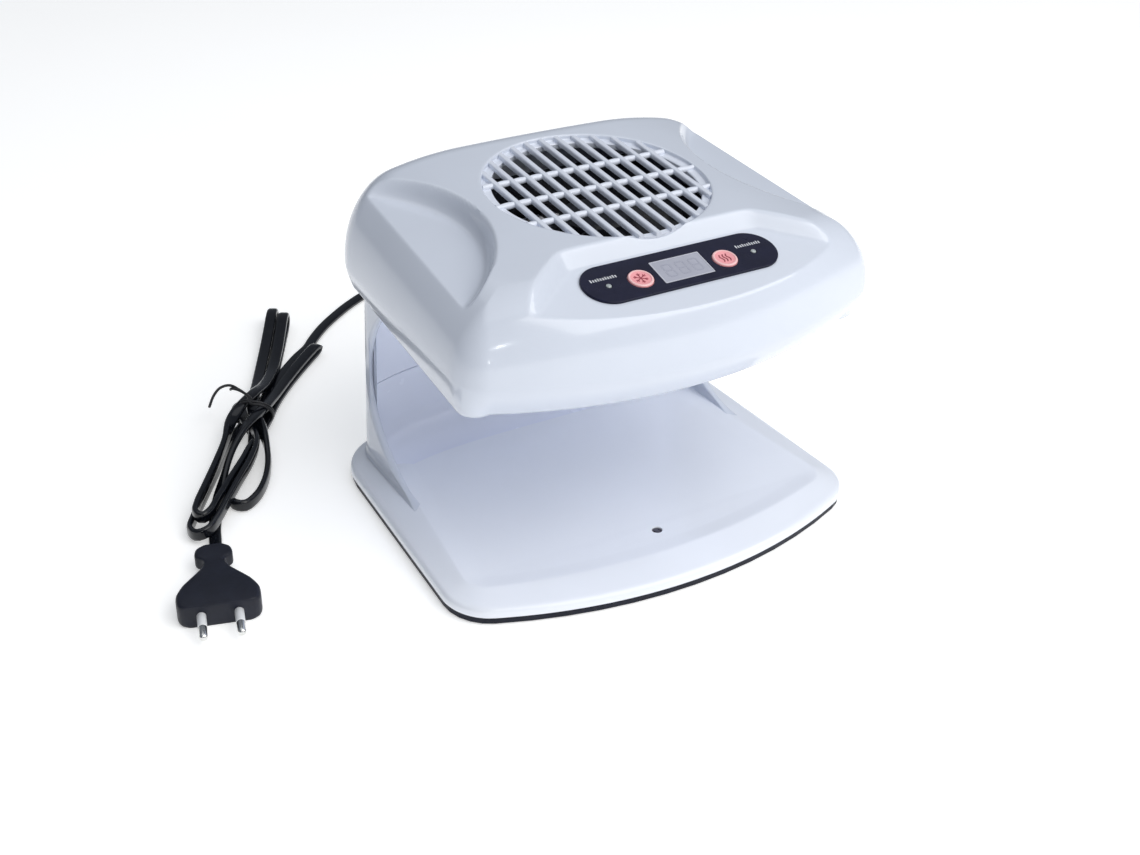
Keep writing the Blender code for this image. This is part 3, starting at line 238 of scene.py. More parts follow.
SLEEVE_WHITE = surface("sleeve_white", (0.84, 0.85, 0.86), 0.34, vary=0.03, patch=3)
PIN_NICKEL = surface("pin_nickel", (0.74, 0.74, 0.72), 0.13, vary=0.1, patch=2, grain=0.01, grain_size=0.3,
                     metallic=1.0, stretch=(5, 1, 5))
BOARD = circuit_board_material()
WINDING = winding_material()


# ---------------------------------------------------------------- pieces from points

def add_object(name, data):
    made = bpy.data.objects.new(name, data)
    bpy.context.collection.objects.link(made)
    return made


def object_from(name, points, faces, skin, slot, replaced=(), smooth=32, body="root"):
    """A piece from points in millimetres. It rides a body and stands for the CAD nodes it names."""
    mesh = bpy.data.meshes.new(name)
    mesh.from_pydata((np.array(points, float) * MM).tolist(), [], faces)
    tidy = bmesh.new()
    tidy.from_mesh(mesh)
    bmesh.ops.remove_doubles(tidy, verts=tidy.verts, dist=0.002 * MM)
    bmesh.ops.recalc_face_normals(tidy, faces=tidy.faces)
    tidy.to_mesh(mesh)
    tidy.free()
    mesh.shade_smooth()
    mesh.set_sharp_from_angle(angle=radians(smooth))
    mesh.materials.append(skin)
    piece = add_object(name, mesh)
    if replaced:
        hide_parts(*replaced)
    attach(piece, body)
    return piece


def grid_shape(grid, around=True, ends=()):
    """Quads over a grid of rows; around closes each row, and ends caps the rows it names (0 or -1)."""
    grid = np.array(grid, float)
    rows, columns = grid.shape[:2]
    faces = []
    for r in range(rows - 1):
        for c in range(columns if around else columns - 1):
            d = (c + 1) % columns
            faces.append([r * columns + c, r * columns + d, (r + 1) * columns + d, (r + 1) * columns + c])
    for end in ends:
        start = 0 if end == 0 else (rows - 1) * columns
        faces.append(list(range(start, start + columns)))
    return grid.reshape(-1, 3), faces


def merged(*shapes):
    """Several shapes as one list of points and one of faces."""
    points, faces = [], []
    for more_points, more_faces in shapes:
        start = len(points)
        points += [tuple(p) for p in more_points]
        faces += [[i + start for i in face] for face in more_faces]
    return points, faces


def placed(shape, matrix):
    """A shape in millimetres moved by a matrix whose offset is in millimetres."""
    points, faces = shape
    turned = np.array(points, float) @ np.array(matrix.to_3x3()).T + np.array(matrix.translation)
    return turned, faces


def circle(r, count=48, x=0.0, y=0.0):
    turns = [2 * pi * k / count for k in range(count)]
    return [(x + r * cos(a), y + r * sin(a)) for a in turns]


def rounded_box(half_x, half_y, r, x=0.0, y=0.0, steps=8):
    outline = []
    for quarter in range(4):
        sx = (1, -1, -1, 1)[quarter]
        sy = (1, 1, -1, -1)[quarter]
        for k in range(steps + 1):
            a = pi / 2 * (quarter + k / steps)
            outline.append((x + sx * (half_x - r) + r * cos(a), y + sy * (half_y - r) + r * sin(a)))
    return outline


def lathe(profile, count=48, x=0.0, y=0.0):
    """A turned solid about a vertical axis from (radius, z) pairs, capped at both ends."""
    return grid_shape([[(px, py, z) for px, py in circle(r, count, x, y)] for r, z in profile], ends=(0, -1))


def turned_y(profile, count=48, x=0.0, z=0.0):
    """A turned solid about an axis along Y from (radius, y) pairs, capped at both ends."""
    rows = [[(x + px, y, z + pz) for px, pz in circle(r, count)] for r, y in profile]
    return grid_shape(rows, ends=(0, -1))


def plate(outline, holes, low, high, bevel=0.0):
    """A plate with holes between two heights, numbers or functions of (x, y); bevel eases its edges."""
    floor = low if callable(low) else (lambda x, y: low)
    roof = high if callable(high) else (lambda x, y: high)
    loops = [outline] + [hole[::-1] for hole in holes]
    shapes = []
    for loop in loops:
        inner = inset(loop, bevel) if bevel else loop
        rows = [[(x, y, floor(x, y)) for x, y in inner]]
        if bevel:
            rows.append([(x, y, floor(x, y) + bevel) for x, y in loop])
            rows.append([(x, y, roof(x, y) - bevel) for x, y in loop])
        rows.append([(x, y, roof(x, y)) for x, y in inner])
        shapes.append(grid_shape(rows))
    faces_at = [inset(loop, bevel) if bevel else loop for loop in loops]
    triangles = tessellate_polygon([[Vector((x, y, 0)) for x, y in loop] for loop in faces_at])
    flat = [point for loop in faces_at for point in loop]
    for height in (floor, roof):
        shapes.append(([(x, y, height(x, y)) for x, y in flat], [list(t) for t in triangles]))
    return merged(*shapes)


# ---------------------------------------------------------------- outlines in plan

def arc(cx, cy, r, a0, a1, steps):
    """Points on an arc, without its last one."""
    turns = [a0 + (a1 - a0) * k / steps for k in range(steps)]
    return [(cx + r * cos(a), cy + r * sin(a)) for a in turns]


def corner_centre(half, taper, edge_y, edge_r, corner, front):
    """Centre of the corner that is tangent to the side line and to the front or rear arc."""
    middle = edge_y + edge_r if front else edge_y - edge_r
    side = -1 if front else 1
    y = edge_y - side * corner
    for _ in range(30):
        x = half + taper * y - corner * hypot(1, taper)
        y = middle + side * sqrt((edge_r - corner) ** 2 - x * x)
    return x, y, middle


def shell_outline(sizes, detail):
    """Closed outline: curved front and rear, straight tapering sides and four round corners."""
    half, taper = sizes["half"], sizes["taper"]
    front_corner, rear_corner = sizes["front_corner"], sizes["rear_corner"]
    fx, fy, f_mid = corner_centre(half, taper, sizes["front_y"], sizes["front_r"], front_corner, True)
    rx, ry, r_mid = corner_centre(half, taper, sizes["rear_y"], sizes["rear_r"], rear_corner, False)
    lean = atan(-taper)
    front_end = atan((fy - f_mid) / fx)
    rear_end = atan((ry - r_mid) / rx)
    right = arc(0, f_mid, sizes["front_r"], -pi / 2, front_end, 6 * detail)
    right += arc(fx, fy, front_corner, front_end, lean, 5 * detail)
    x0, y0 = fx + front_corner * cos(lean), fy + front_corner * sin(lean)
    x1, y1 = rx + rear_corner * cos(lean), ry + rear_corner * sin(lean)
    steps = 7 * detail
    right += [(x0 + (x1 - x0) * k / steps, y0 + (y1 - y0) * k / steps) for k in range(steps)]
    right += arc(rx, ry, rear_corner, lean, rear_end, 5 * detail)
    right += arc(0, r_mid, sizes["rear_r"], rear_end, pi / 2, 6 * detail)
    right.append((0, sizes["rear_y"]))
    return right + [(-x, y) for x, y in right[1:-1]][::-1]


def outward(outline):
    """Unit normals of an outline that runs anticlockwise."""
    p = np.array(outline, float)
    along = np.roll(p, -1, axis=0) - np.roll(p, 1, axis=0)
    normal = np.stack([along[:, 1], -along[:, 0]], axis=1)
    return normal / np.linalg.norm(normal, axis=1)[:, None]


def inset(outline, amount):
    """The outline moved inwards by a number, or by one number for each point."""
    moved = np.array(outline, float) - outward(outline) * np.reshape(amount, (-1, 1))
    return [tuple(p) for p in moved]


# ---------------------------------------------------------------- hood surface

def inset_distance(points, outline):
    """How far inside the outline each point lies."""
    a = np.array(outline)
    span = np.roll(a, -1, axis=0) - a
    found = []
    for chunk in np.array_split(points, max(1, len(points) // 3000)):
        rel = chunk[:, None, :] - a[None]
        t = np.clip((rel * span).sum(2) / (span ** 2).sum(1), 0, 1)
        found.append(np.linalg.norm(rel - t[:, :, None] * span[None], axis=2).min(1))
    return np.concatenate(found)


def soft_min(a, b, reach):
    """The lower of two heights, rounded where they are within reach of each other."""
    mix = np.clip(0.5 + 0.5 * (b - a) / reach, 0, 1)
    return b * (1 - mix) + a * mix - reach * mix * (1 - mix)


def soft_max(a, b, reach):
    return -soft_min(-a, -b, reach)


def crown(x, y):
    spread = np.maximum(np.abs(x) - CROWN_FLAT, 0)
    return CROWN_Z + CROWN_TILT * (y - GRILLE_Y) - spread ** 2 / CROWN_FALL


def scoop(x, y):
    """Floor of the scooped flanks, with a cove that rises past the rim's circle."""
    reach = np.hypot(np.abs(x) - SCOOP_X, y - SCOOP_Y)
    floor = SCOOP_CREASE_Z + SCOOP_TILT * (y - SCOOP_Y) + SCOOP_RISE * (SCOOP_CREASE_X - np.abs(x))
    cove = np.maximum(reach - SCOOP_R + 0.5, 0)
    return floor + cove ** 2 * 0.2 + np.maximum(cove - 5.0, 0) * 2.5


def facet_plane(y):
    return FACET_Z + FACET_SLOPE * (y - FACET_Y)


def facet(x, y):
    """The control facet, a trapezium that widens to the front, with banks that rise around it."""
    beyond_top = y - FACET_TOP_Y
    beyond_side = (np.abs(x) - FACET_TOP_HALF + FACET_SPREAD * beyond_top) / hypot(1, FACET_SPREAD)
    outside = np.maximum(soft_max(beyond_top, beyond_side, FACET_CORNER), 0)
    return facet_plane(y) + FACET_BANK * (np.hypot(outside, FACET_TOE) - FACET_TOE)


def hood_height(x, y, outline):
    """Height of the hood's top over the plan, from its widest level inwards."""
    edge = np.clip(1 - inset_distance(np.stack([x, y], axis=1), outline) / SHOULDER, 0, 1)
    rise = (1 - edge ** SHOULDER_POWER) ** (1 / SHOULDER_POWER)
    rounded = HOOD_WIDEST_Z + (crown(x, y) - HOOD_WIDEST_Z) * rise
    height = np.zeros_like(rounded)
    nearby = circle(CARVE_EDGE, 8)
    for dx, dy in nearby:
        carved = soft_min(rounded, scoop(x + dx, y + dy), CARVE_EDGE)
        carved = soft_min(carved, facet(x + dx, y + dy), CARVE_EDGE)
        height += np.where(edge > 0.9, np.minimum(rounded, carved), carved) / len(nearby)
    return height


def edge_plane(y):
    """Height of the hood's lower edge."""
    return EDGE_Z + EDGE_TILT * y


def under_turn(outline, share):
    """Inset of the side below the widest level: share 0 is that level, 1 is the lower edge."""
    facing = outward(outline)[:, 1]
    deepest = 4.0 + 9.0 * np.clip(-facing, 0, 1) ** 2 - 3.0 * np.clip(facing, 0, 1)
    return deepest * share ** 1.4


def hood_side_ring(outline, share, deeper=0.0, lift=0.0):
    ring = inset(outline, under_turn(outline, share) + deeper)
    return [(x, y, HOOD_WIDEST_Z + (edge_plane(y) - HOOD_WIDEST_Z) * share + lift) for x, y in ring]


def hood_grid(detail, levels, side_levels):
    """Rows of the hood's skin, from inside the intake hole over the top and down to the lower edge."""
    outline = shell_outline(HOOD, detail)
    rim = np.array(outline)
    from_centre = np.arctan2(rim[:, 1] - GRILLE_Y, rim[:, 0])
    ring = np.stack([np.cos(from_centre), np.sin(from_centre)], axis=1)
    rows = []
    for wider, drop in ((2.4, 5.4), (0, 5.4), (0, 0.9), (0.12, 0.5), (0.35, 0.22), (0.7, 0.06)):
        flat = ring * (HOLE_R + wider) + np.array([0, GRILLE_Y])
        rows.append(np.column_stack([flat, np.minimum(crown(*flat.T), facet(*flat.T)) - drop]))
    hole = ring * (HOLE_R + 1.2) + np.array([0, GRILLE_Y])
    shares = [1 - (1 - k / levels) ** 1.5 for k in range(levels)]
    flat = np.concatenate([hole + (rim - hole) * share for share in shares])
    heights = hood_height(flat[:, 0], flat[:, 1], shell_outline(HOOD, 8))
    rows += list(np.column_stack([flat, heights]).reshape(levels, len(rim), 3))
    rows += [np.array(hood_side_ring(outline, k / side_levels)) for k in range(side_levels)]
    rows.append(np.array(hood_side_ring(outline, 1, 0.0, 0.6)))
    rows.append(np.array(hood_side_ring(outline, 1, 0.25, 0.15)))
    rows.append(np.array(hood_side_ring(outline, 1, 0.8)))
    rows.append(np.array(hood_side_ring(outline, 1, WALL)))
    rows.append(np.array(hood_side_ring(outline, 0.2, WALL)))
    return rows


def hood_cover():
    rows = hood_grid(8, 84, 22)
    return object_from("hood_cover_shell", *grid_shape(rows), WHITE, "gloss_shell", ["hood_cover"], smooth=50)


# ---------------------------------------------------------------- intake grille

def grille_place():
    return Matrix.Translation((0, GRILLE_Y, CROWN_Z)) @ Matrix.Rotation(atan(CROWN_TILT), 4, "X")


def rib(x):
    """A shallow flat-topped rib that runs from rim to rim."""
    reach = sqrt((HOLE_R + 0.3) ** 2 - x * x)
    half = RIB_WIDTH / 2
    side = [(half * 0.94, -3.2), (half, -1.5), (half - 0.1, -0.85), (half - 0.4, -0.5), (half - 0.85, -0.35)]
    section = side + [(-sx, sz) for sx, sz in side[::-1]]
    rows = [[(x + sx, y, sz) for sx, sz in section] for y in (-reach, reach)]
    return grid_shape(rows, ends=(0, -1))


def cross_bar(y):
    """A round bar with a slight bead between each two ribs."""
    reach = sqrt(HOLE_R ** 2 - y * y)
    rows = []
    for x in np.linspace(-reach, reach, 150):
        bead = cos(pi * (x / RIB_PITCH - 0.5)) ** 2
        r = 1.55 + 0.35 * bead
        rows.append([(x, y + py, -2.35 + pz) for py, pz in circle(r, 20)])
    return grid_shape(rows, ends=(0, -1))


def intake_grille():
    shapes = [rib(k * RIB_PITCH) for k in range(-5, 6)]
    shapes += [cross_bar(BAR_Y + k * BAR_PITCH - GRILLE_Y) for k in (-1, 0, 1)]
    ring = [(55.8, -5.6), (55.8, -3.0), (56.3, -2.6), (HOLE_R - 0.4, -2.6), (HOLE_R + 0.2, -2.0),
            (HOLE_R + 0.2, -5.6)]
    rows = [[(x, y, z) for x, y in circle(r, 128)] for r, z in ring + ring[:1]]
    shapes.append(grid_shape(rows))
    shape = placed(merged(*shapes), grille_place())
    return object_from("intake_grille_ribs", *shape, WHITE_GRILLE, "gloss_shell", ["intake_grille"])


# ---------------------------------------------------------------- control panel

def panel_place():
    return Matrix.Translation((0, FACET_Y, FACET_Z)) @ Matrix.Rotation(atan(FACET_SLOPE), 4, "X")


def on_panel(name, shape, skin, slot, replaced=(), smooth=32, body="root"):
    return object_from(name, *placed(shape, panel_place()), skin, slot, replaced, smooth, body)


def bar(x0, y0, x1, y1, width, low, high):
    """A straight flat stroke with square ends."""
    along = Vector((x1 - x0, y1 - y0)).normalized() * (width / 2)
    across = Vector((-along.y, along.x))
    a, b = Vector((x0, y0)), Vector((x1, y1))
    corners = [a - along - across, b + along - across, b + along + across, a - along + across]
    return plate([tuple(c) for c in corners], [], low, high)


def overlay():
    holes = []
    for side in (-1, 1):
        holes.append(circle(BUTTON_R + 0.3, 48, side * BUTTON_X, BUTTON_V))
        holes.append(circle(LAMP_R + 0.2, 24, side * LAMP_X, LAMP_V))
    holes.append(rounded_box(DISPLAY_W / 2, DISPLAY_H / 2, 0.4, 0, DISPLAY_V, 3))
    outline = rounded_box(PANEL_HALF - 0.8, PANEL_HEIGHT / 2, PANEL_HEIGHT / 2 - 0.05, steps=24)
    film = plate(outline, holes, -0.2, PANEL_TOP, 0.25)
    on_panel("overlay_film", film, OVERLAY, "overlay", ["control_overlay"])


def display():
    """Window with a thin frame and three unlit digits."""
    half_w, half_h = DISPLAY_W / 2 - 0.1, DISPLAY_H / 2 - 0.1
    window = rounded_box(half_w, half_h, 0.5, 0, DISPLAY_V, 3)
    top = PANEL_TOP - 0.3
    on_panel("display_pane", plate(window, [], -0.6, top), DISPLAY, "display", ["display_window"])
    hole = rounded_box(half_w - 0.7, half_h - 0.7, 0.3, 0, DISPLAY_V, 3)
    on_panel("display_border", plate(window, [hole], top - 0.1, top + 0.12), DISPLAY_FRAME, "display")
    w, h, gap = 2.3, 4.6, 0.8
    ends = []
    for x in (-7.4, 0.4, 8.2):
        ends += [(x - w + gap, y, x + w - gap, y) for y in (-h, 0, h)]
        ends += [(x + dx, low, x + dx, low + h - 2 * gap) for dx in (-w, w) for low in (-h + gap, gap)]
    strokes = [bar(x0, DISPLAY_V + y0, x1, DISPLAY_V + y1, 0.9, top, top + INK) for x0, y0, x1, y1 in ends]
    on_panel("display_digits", merged(*strokes), SEGMENT, "display")


def button_profile():
    crown_r = BUTTON_R - 1.3
    return [(1.8, -7.2), (1.8, -4.6), (8.2, -4.6), (8.2, -3.6), (BUTTON_R, -3.6), (BUTTON_R, 1.3),
            (BUTTON_R - 0.15, 1.65), (BUTTON_R - 0.5, 1.9), (BUTTON_R - 0.9, 1.9), (crown_r, 1.72)]


def push_button(name, x):
    """Cap with a paler rim ring and a slightly dished face; both ride the button's own body."""
    face = [(BUTTON_R - 1.3, 1.72), (3.5, 1.64), (1.5, BUTTON_FACE), (0.05, BUTTON_FACE)]
    cap = lathe(button_profile() + face[1:], 56, x, BUTTON_V)
    on_panel(f"{name}_cap", cap, BUTTON_PINK, "button", [name], body=name)
    ring = [(BUTTON_R - 1.35, 1.7), (BUTTON_R - 1.2, 1.98), (BUTTON_R - 0.55, 2.0), (BUTTON_R - 0.1, 1.6)]
    rows = [[(px, py, z) for px, py in circle(r, 56, x, BUTTON_V)] for r, z in ring + ring[:1]]
    on_panel(f"{name}_rim", grid_shape(rows), BUTTON_RIM, "button", body=name)


def snowflake(x, y, size):
    strokes = []
    for k in range(3):
        a = pi / 2 + pi * k / 3
        dx, dy = cos(a), sin(a)
        ends = (x - size * dx, y - size * dy, x + size * dx, y + size * dy)
        strokes.append(bar(*ends, 0.5, BUTTON_FACE, SYMBOL_TOP))
        for side in (-1, 1):
            for turn in (-0.6, 0.6):
                fx, fy = x + side * size * 0.55 * dx, y + side * size * 0.55 * dy
                ex = fx + side * size * 0.38 * cos(a + turn)
                ey = fy + side * size * 0.38 * sin(a + turn)
                strokes.append(bar(fx, fy, ex, ey, 0.42, BUTTON_FACE, SYMBOL_TOP))
    return merged(*strokes)


def heat_waves(x, y, size):
    strokes = []
    for offset in (-1.9, 0.0, 1.9):
        spots = [(x + offset + 0.55 * sin(t * 2 * pi), y - size + 2 * size * t) for t in np.linspace(0, 1, 9)]
        strokes += [bar(*a, *b, 0.6, BUTTON_FACE, SYMBOL_TOP) for a, b in zip(spots, spots[1:])]
    return merged(*strokes)


def lamps_and_marks():
    """Indicator lamps, each under a row of short printed ticks."""
    top = PANEL_TOP
    for name, side in (("cool_lamp", -1), ("hot_lamp", 1)):
        x = side * LAMP_X
        dome = [(LAMP_R, -6), (LAMP_R, 0.9), (LAMP_R * 0.9, 1.3), (LAMP_R * 0.6, 1.6), (0.1, 1.72)]
        on_panel(f"{name}_dome", lathe(dome, 32, x, LAMP_V), LAMP_CLEAR, "lamp", [name])
        ticks, count, pitch = [], 11, 1.4
        for k in range(count):
            mark_x = x + pitch * (k - (count - 1) / 2)
            high = 1.2 if k % 3 else 1.6
            low_y = LAMP_V + 4.9
            ticks.append(bar(mark_x, low_y, mark_x, low_y + high, 0.6, top, top + INK))
        on_panel(f"{name}_marks", merged(*ticks), PRINT_WHITE, "overlay")


def control_panel():
    overlay()
    display()
    for name, side in (("cool_button", -1), ("hot_button", 1)):
        push_button(name, side * BUTTON_X)
    on_panel("cool_symbol", snowflake(-BUTTON_X, BUTTON_V, 3.6), SYMBOL_RED, "button", body="cool_button")
    on_panel("hot_symbol", heat_waves(BUTTON_X, BUTTON_V, 2.7), SYMBOL_RED, "button", body="hot_button")
    lamps_and_marks()


# ---------------------------------------------------------------- base, liner and column

def base_shell():
    """Outer band with its rolled edge, the ledge, the tray with its sensor hole."""
    outline = shell_outline(BASE, 4)
    tray = shell_outline(TRAY, 4)
    rolled = [(2.4, SHELL_BOTTOM), (0.3, SHELL_BOTTOM), (0.0, 5.0), (0.0, 7.6), (0.2, 8.4), (0.7, 9.2),
              (1.5, 9.85), (2.6, 10.3), (BAND_INSET, BAND_TOP)]
    rows = [[(x, y, z) for x, y in inset(outline, d)] for d, z in rolled]
    outer = np.array(inset(outline, BAND_INSET))
    inner = np.array(inset(tray, -3.2))
    for share in (0.25, 0.5, 0.75, 0.95):
        flat = outer + (inner - outer) * share
        rows.append([(x, y, BAND_TOP + (LEDGE_Z - BAND_TOP) * share) for x, y in flat])
    for share in np.linspace(0, 1, 9):
        z = LEDGE_Z + (TRAY_Z - LEDGE_Z) * (1 - (1 - share) ** 2) * (0.4 + 0.6 * share)
        rows.append([(x, y, z) for x, y in inset(tray, -2.8 + 11.0 * share)])
    hole = circle(SENSOR_R + 0.35, 48, 0, SENSOR_Y)
    edge = [(x, y) for x, y, z in rows[-1]]
    triangles = tessellate_polygon([[Vector((x, y, 0)) for x, y in loop] for loop in (edge, hole[::-1])])
    floor = ([(x, y, TRAY_Z) for x, y in edge + hole[::-1]], [list(t) for t in triangles])
    lip = [(SENSOR_R + 0.35, TRAY_Z), (SENSOR_R, TRAY_Z - 0.35), (SENSOR_R, TRAY_Z - WALL)]
    wall = grid_shape([[(x, y, z) for x, y in circle(r, 48, 0, SENSOR_Y)] for r, z in lip])
    shape = merged(grid_shape(rows), floor, wall)
    # The base wears the white painted lighter: painted light on the tray under the hood's shade.
    return object_from("base_tray_shell", *shape, WHITE_BASE_PAINTED_LIGHTER, "gloss_shell", ["base_shell"], smooth=40)


def sensor_lens():
    """Dark domed window a little below the tray."""
    r = SENSOR_R - 0.05
    profile = [(r, TRAY_Z - 2.6), (r, TRAY_Z - 0.75), (r * 0.92, TRAY_Z - 0.55), (r * 0.6, TRAY_Z - 0.35),
               (0.05, TRAY_Z - 0.25)]
    dome = lathe(profile, 40, 0, SENSOR_Y)
    return object_from("hand_sensor_window", *dome, LENS, "sensor_lens", ["hand_sensor_lens"])


def inner_wall_y(x):
    """Face of the inner back wall, hollow in the middle."""
    return INNER_Y - INNER_HOLLOW * (abs(x) / INNER_HALF) ** 4


def wall_strip(name, path, replaced):
    """Inner back wall swept across X along a path of (y offset, z)."""
    half = INNER_HALF - 0.6
    stations = [half * sin(pi / 2 * k / 32) for k in range(-32, 33)]
    rows = [[(x, inner_wall_y(x) + dy, z) for dy, z in path] for x in stations]
    shape = grid_shape(rows, around=False)
    # The inner wall wears the white painted bluer and darker: painted shade of the hollow.
    return object_from(name, *shape, WHITE_INSIDE_PAINTED_SHADE, "gloss_shell", [replaced], smooth=60)


def inner_wall():
    """Lower half on the base and upper half under the hood, with an open joint line between them."""
    low = arc(-FILLET, TRAY_Z - 0.05 + FILLET, FILLET, -pi / 2, 0, 20)
    joint = [(0, JOINT_Z - 0.5), (0.1, JOINT_Z - 0.15), (0.5, JOINT_Z), (1.8, JOINT_Z)]
    wall_strip("inner_wall_lower", [(-FILLET - 3, TRAY_Z - 0.05)] + low + joint, "base_shell")
    above = JOINT_Z + 0.35
    centre_z = edge_plane(INNER_Y) + LINER_RISE - FILLET
    start = [(1.8, above), (0.5, above), (0.1, above + 0.15), (0, above + 0.5)]
    high = arc(-FILLET, centre_z, FILLET, 0, pi / 2, 20) + [(-FILLET - 3, centre_z + FILLET - 0.1)]
    wall_strip("inner_wall_upper", start + high, "hood_underside")


def liner_face(x, y):
    """Height of the liner's lower face."""
    return edge_plane(y) + LINER_RISE


def cover_posts():
    return [(sx * x, y) for sx in (-1, 1) for x, y in ((88.0, -66.0), (100.5, 40.0))]


def liner_plate():
    outline = shell_outline(HOOD, 4)
    edge = inset(outline, under_turn(outline, 0.85) + WALL + 0.3)
    holes = [rounded_box(OUTLET_W / 2, OUTLET_D / 2, 12, 0, OUTLET_Y, 10), circle(2.8, 32, 0, SENSOR_Y)]
    holes += [circle(3.6, 32, x, y) for x, y in cover_posts()]
    shape = plate(edge, holes, liner_face, lambda x, y: liner_face(x, y) + WALL, 0.3)
    # The liner plate under the hood wears the white painted bluer and darker: painted shade of the hollow.
    return object_from("hood_liner_plate", *shape, WHITE_INSIDE_PAINTED_SHADE, "gloss_shell", ["hood_underside"])


def outlet_grille():
    """Framed slats across the outlet."""
    half_w, half_d = OUTLET_W / 2 - 0.3, OUTLET_D / 2 - 0.3
    holes, slot_pitch, row_y = [], 8.6, 16.3
    for k in range(-5, 6):
        for y in (-row_y, row_y):
            holes.append(rounded_box(2.9, 14.7, 1.6, k * slot_pitch, OUTLET_Y + y, 5))
    low = edge_plane(OUTLET_Y) + 3.6
    shape = plate(rounded_box(half_w, half_d, 11.7, 0, OUTLET_Y, 10), holes, low, low + 1.8, 0.35)
    return object_from("outlet_grille_slats", *shape, WHITE_GRILLE, "gloss_shell", ["outlet_grille"])


def bezier(p0, p1, p2, p3, count):
    found = []
    for k in range(count + 1):
        t = k / count
        weights = ((1 - t) ** 3, 3 * t * (1 - t) ** 2, 3 * t * t * (1 - t), t ** 3)
        found.append(tuple(sum(w * c for w, c in zip(weights, corners)) for corners in zip(p0, p1, p2, p3)))
    return found


def column_path(inwards):
    """One half of the column in plan, from far forward on its side round to the middle of its back."""
    half, corner, rear_r = COLUMN_HALF - inwards, COLUMN_CORNER - inwards, COLUMN_REAR_R - inwards
    x, y, middle = corner_centre(half, 0.0, COLUMN_REAR_Y - inwards, rear_r, corner, False)
    lean = atan((y - middle) / x)
    side = [(half, y * k / 100 + RIM_FRONT_Y * (1 - k / 100)) for k in range(100)]
    back = arc(0, middle, rear_r, lean, pi / 2, 8) + [(0, middle + rear_r)]
    return side + arc(x, y, corner, 0, lean, 24) + back


def path_from(path, y, count):
    """Evenly spaced points along a column path, from where it passes this y to its end."""
    p = np.array(path)
    run = np.concatenate([[0], np.cumsum(np.linalg.norm(np.diff(p, axis=0), axis=1))])
    start = np.interp(y, p[:100, 1], run[:100])
    even = np.linspace(start, run[-1], count)
    return list(zip(np.interp(even, run, p[:, 0]), np.interp(even, run, p[:, 1])))


def column_loop(rim_y, z):
    """One level of the column: outer face, round front rims and inner face. Its foot narrows and flares."""
    slim_start, slim_high, flare_start, flare_high, middle_z = 13.0, 12.0, 12.4, 5.0, 70.0
    slim = 1.5 * (1 - min(1.0, max(0.0, (z - slim_start) / slim_high))) ** 2
    flare = 2.4 * max(0.0, 1 - (z - flare_start) / flare_high) ** 2.2
    spread = COLUMN_DRAFT * (middle_z - z)
    outer_path = column_path(slim - flare - spread)
    inner_path = column_path(RIM_WIDE - slim + flare - spread)
    right, left = outer_path[0][0], inner_path[0][0]
    r = (right - left) / 2
    nose = [(right - r + r * cos(a), rim_y + r + r * sin(a)) for a in np.linspace(-pi, 0, 13)]
    outer = path_from(outer_path, rim_y + r, 48)
    inner = path_from(inner_path, rim_y + r, 48)
    half = inner[::-1] + nose[1:-1] + outer
    loop = half + [(-px, py) for px, py in half[::-1]][1:-1]
    return [(px, py, z) for px, py in loop]


def rear_shell():
    """C-shaped column wall, flared at its foot where it meets the base."""
    lower = bezier((RIM_FRONT_Y, 12.5), (46.0, 17.0), (73.0, 38.0), (73.0, 68.0), 44)
    upper = bezier((73.0, 68.0), (73.0, 92.0), (60.0, 114.0), (28.0, 128.0), 36)
    rows = [column_loop(y, z) for y, z in lower + upper[1:] if z < edge_plane(y) + 3.5]
    shape = grid_shape(rows, ends=(0, -1))
    return object_from("rear_column_shell", *shape, WHITE, "gloss_shell", ["rear_shell"], smooth=50)


# ---------------------------------------------------------------- mains cord

# Loose stretch of the cord, from the gland to the hank
CORD_ROUTE = ((34, 126.0, 26), (34, 137, 25.2), (35, 151, 20), (36, 166, 11.4), (38, 184, 4.6),
              (40, 205, 2.3), (42, 226, 2.3), (42, 247, 2.3), (37, 269, 2.3), (24, 284.6, 2.3),
              (6, 290.6, 2.3), (-14, 286.8, 2.3), (-33, 276.5, 2.3), (-49.6, 264.5, 2.3), (-64, 252.3, 2.3),
              (-75.6, 240, 2.4))

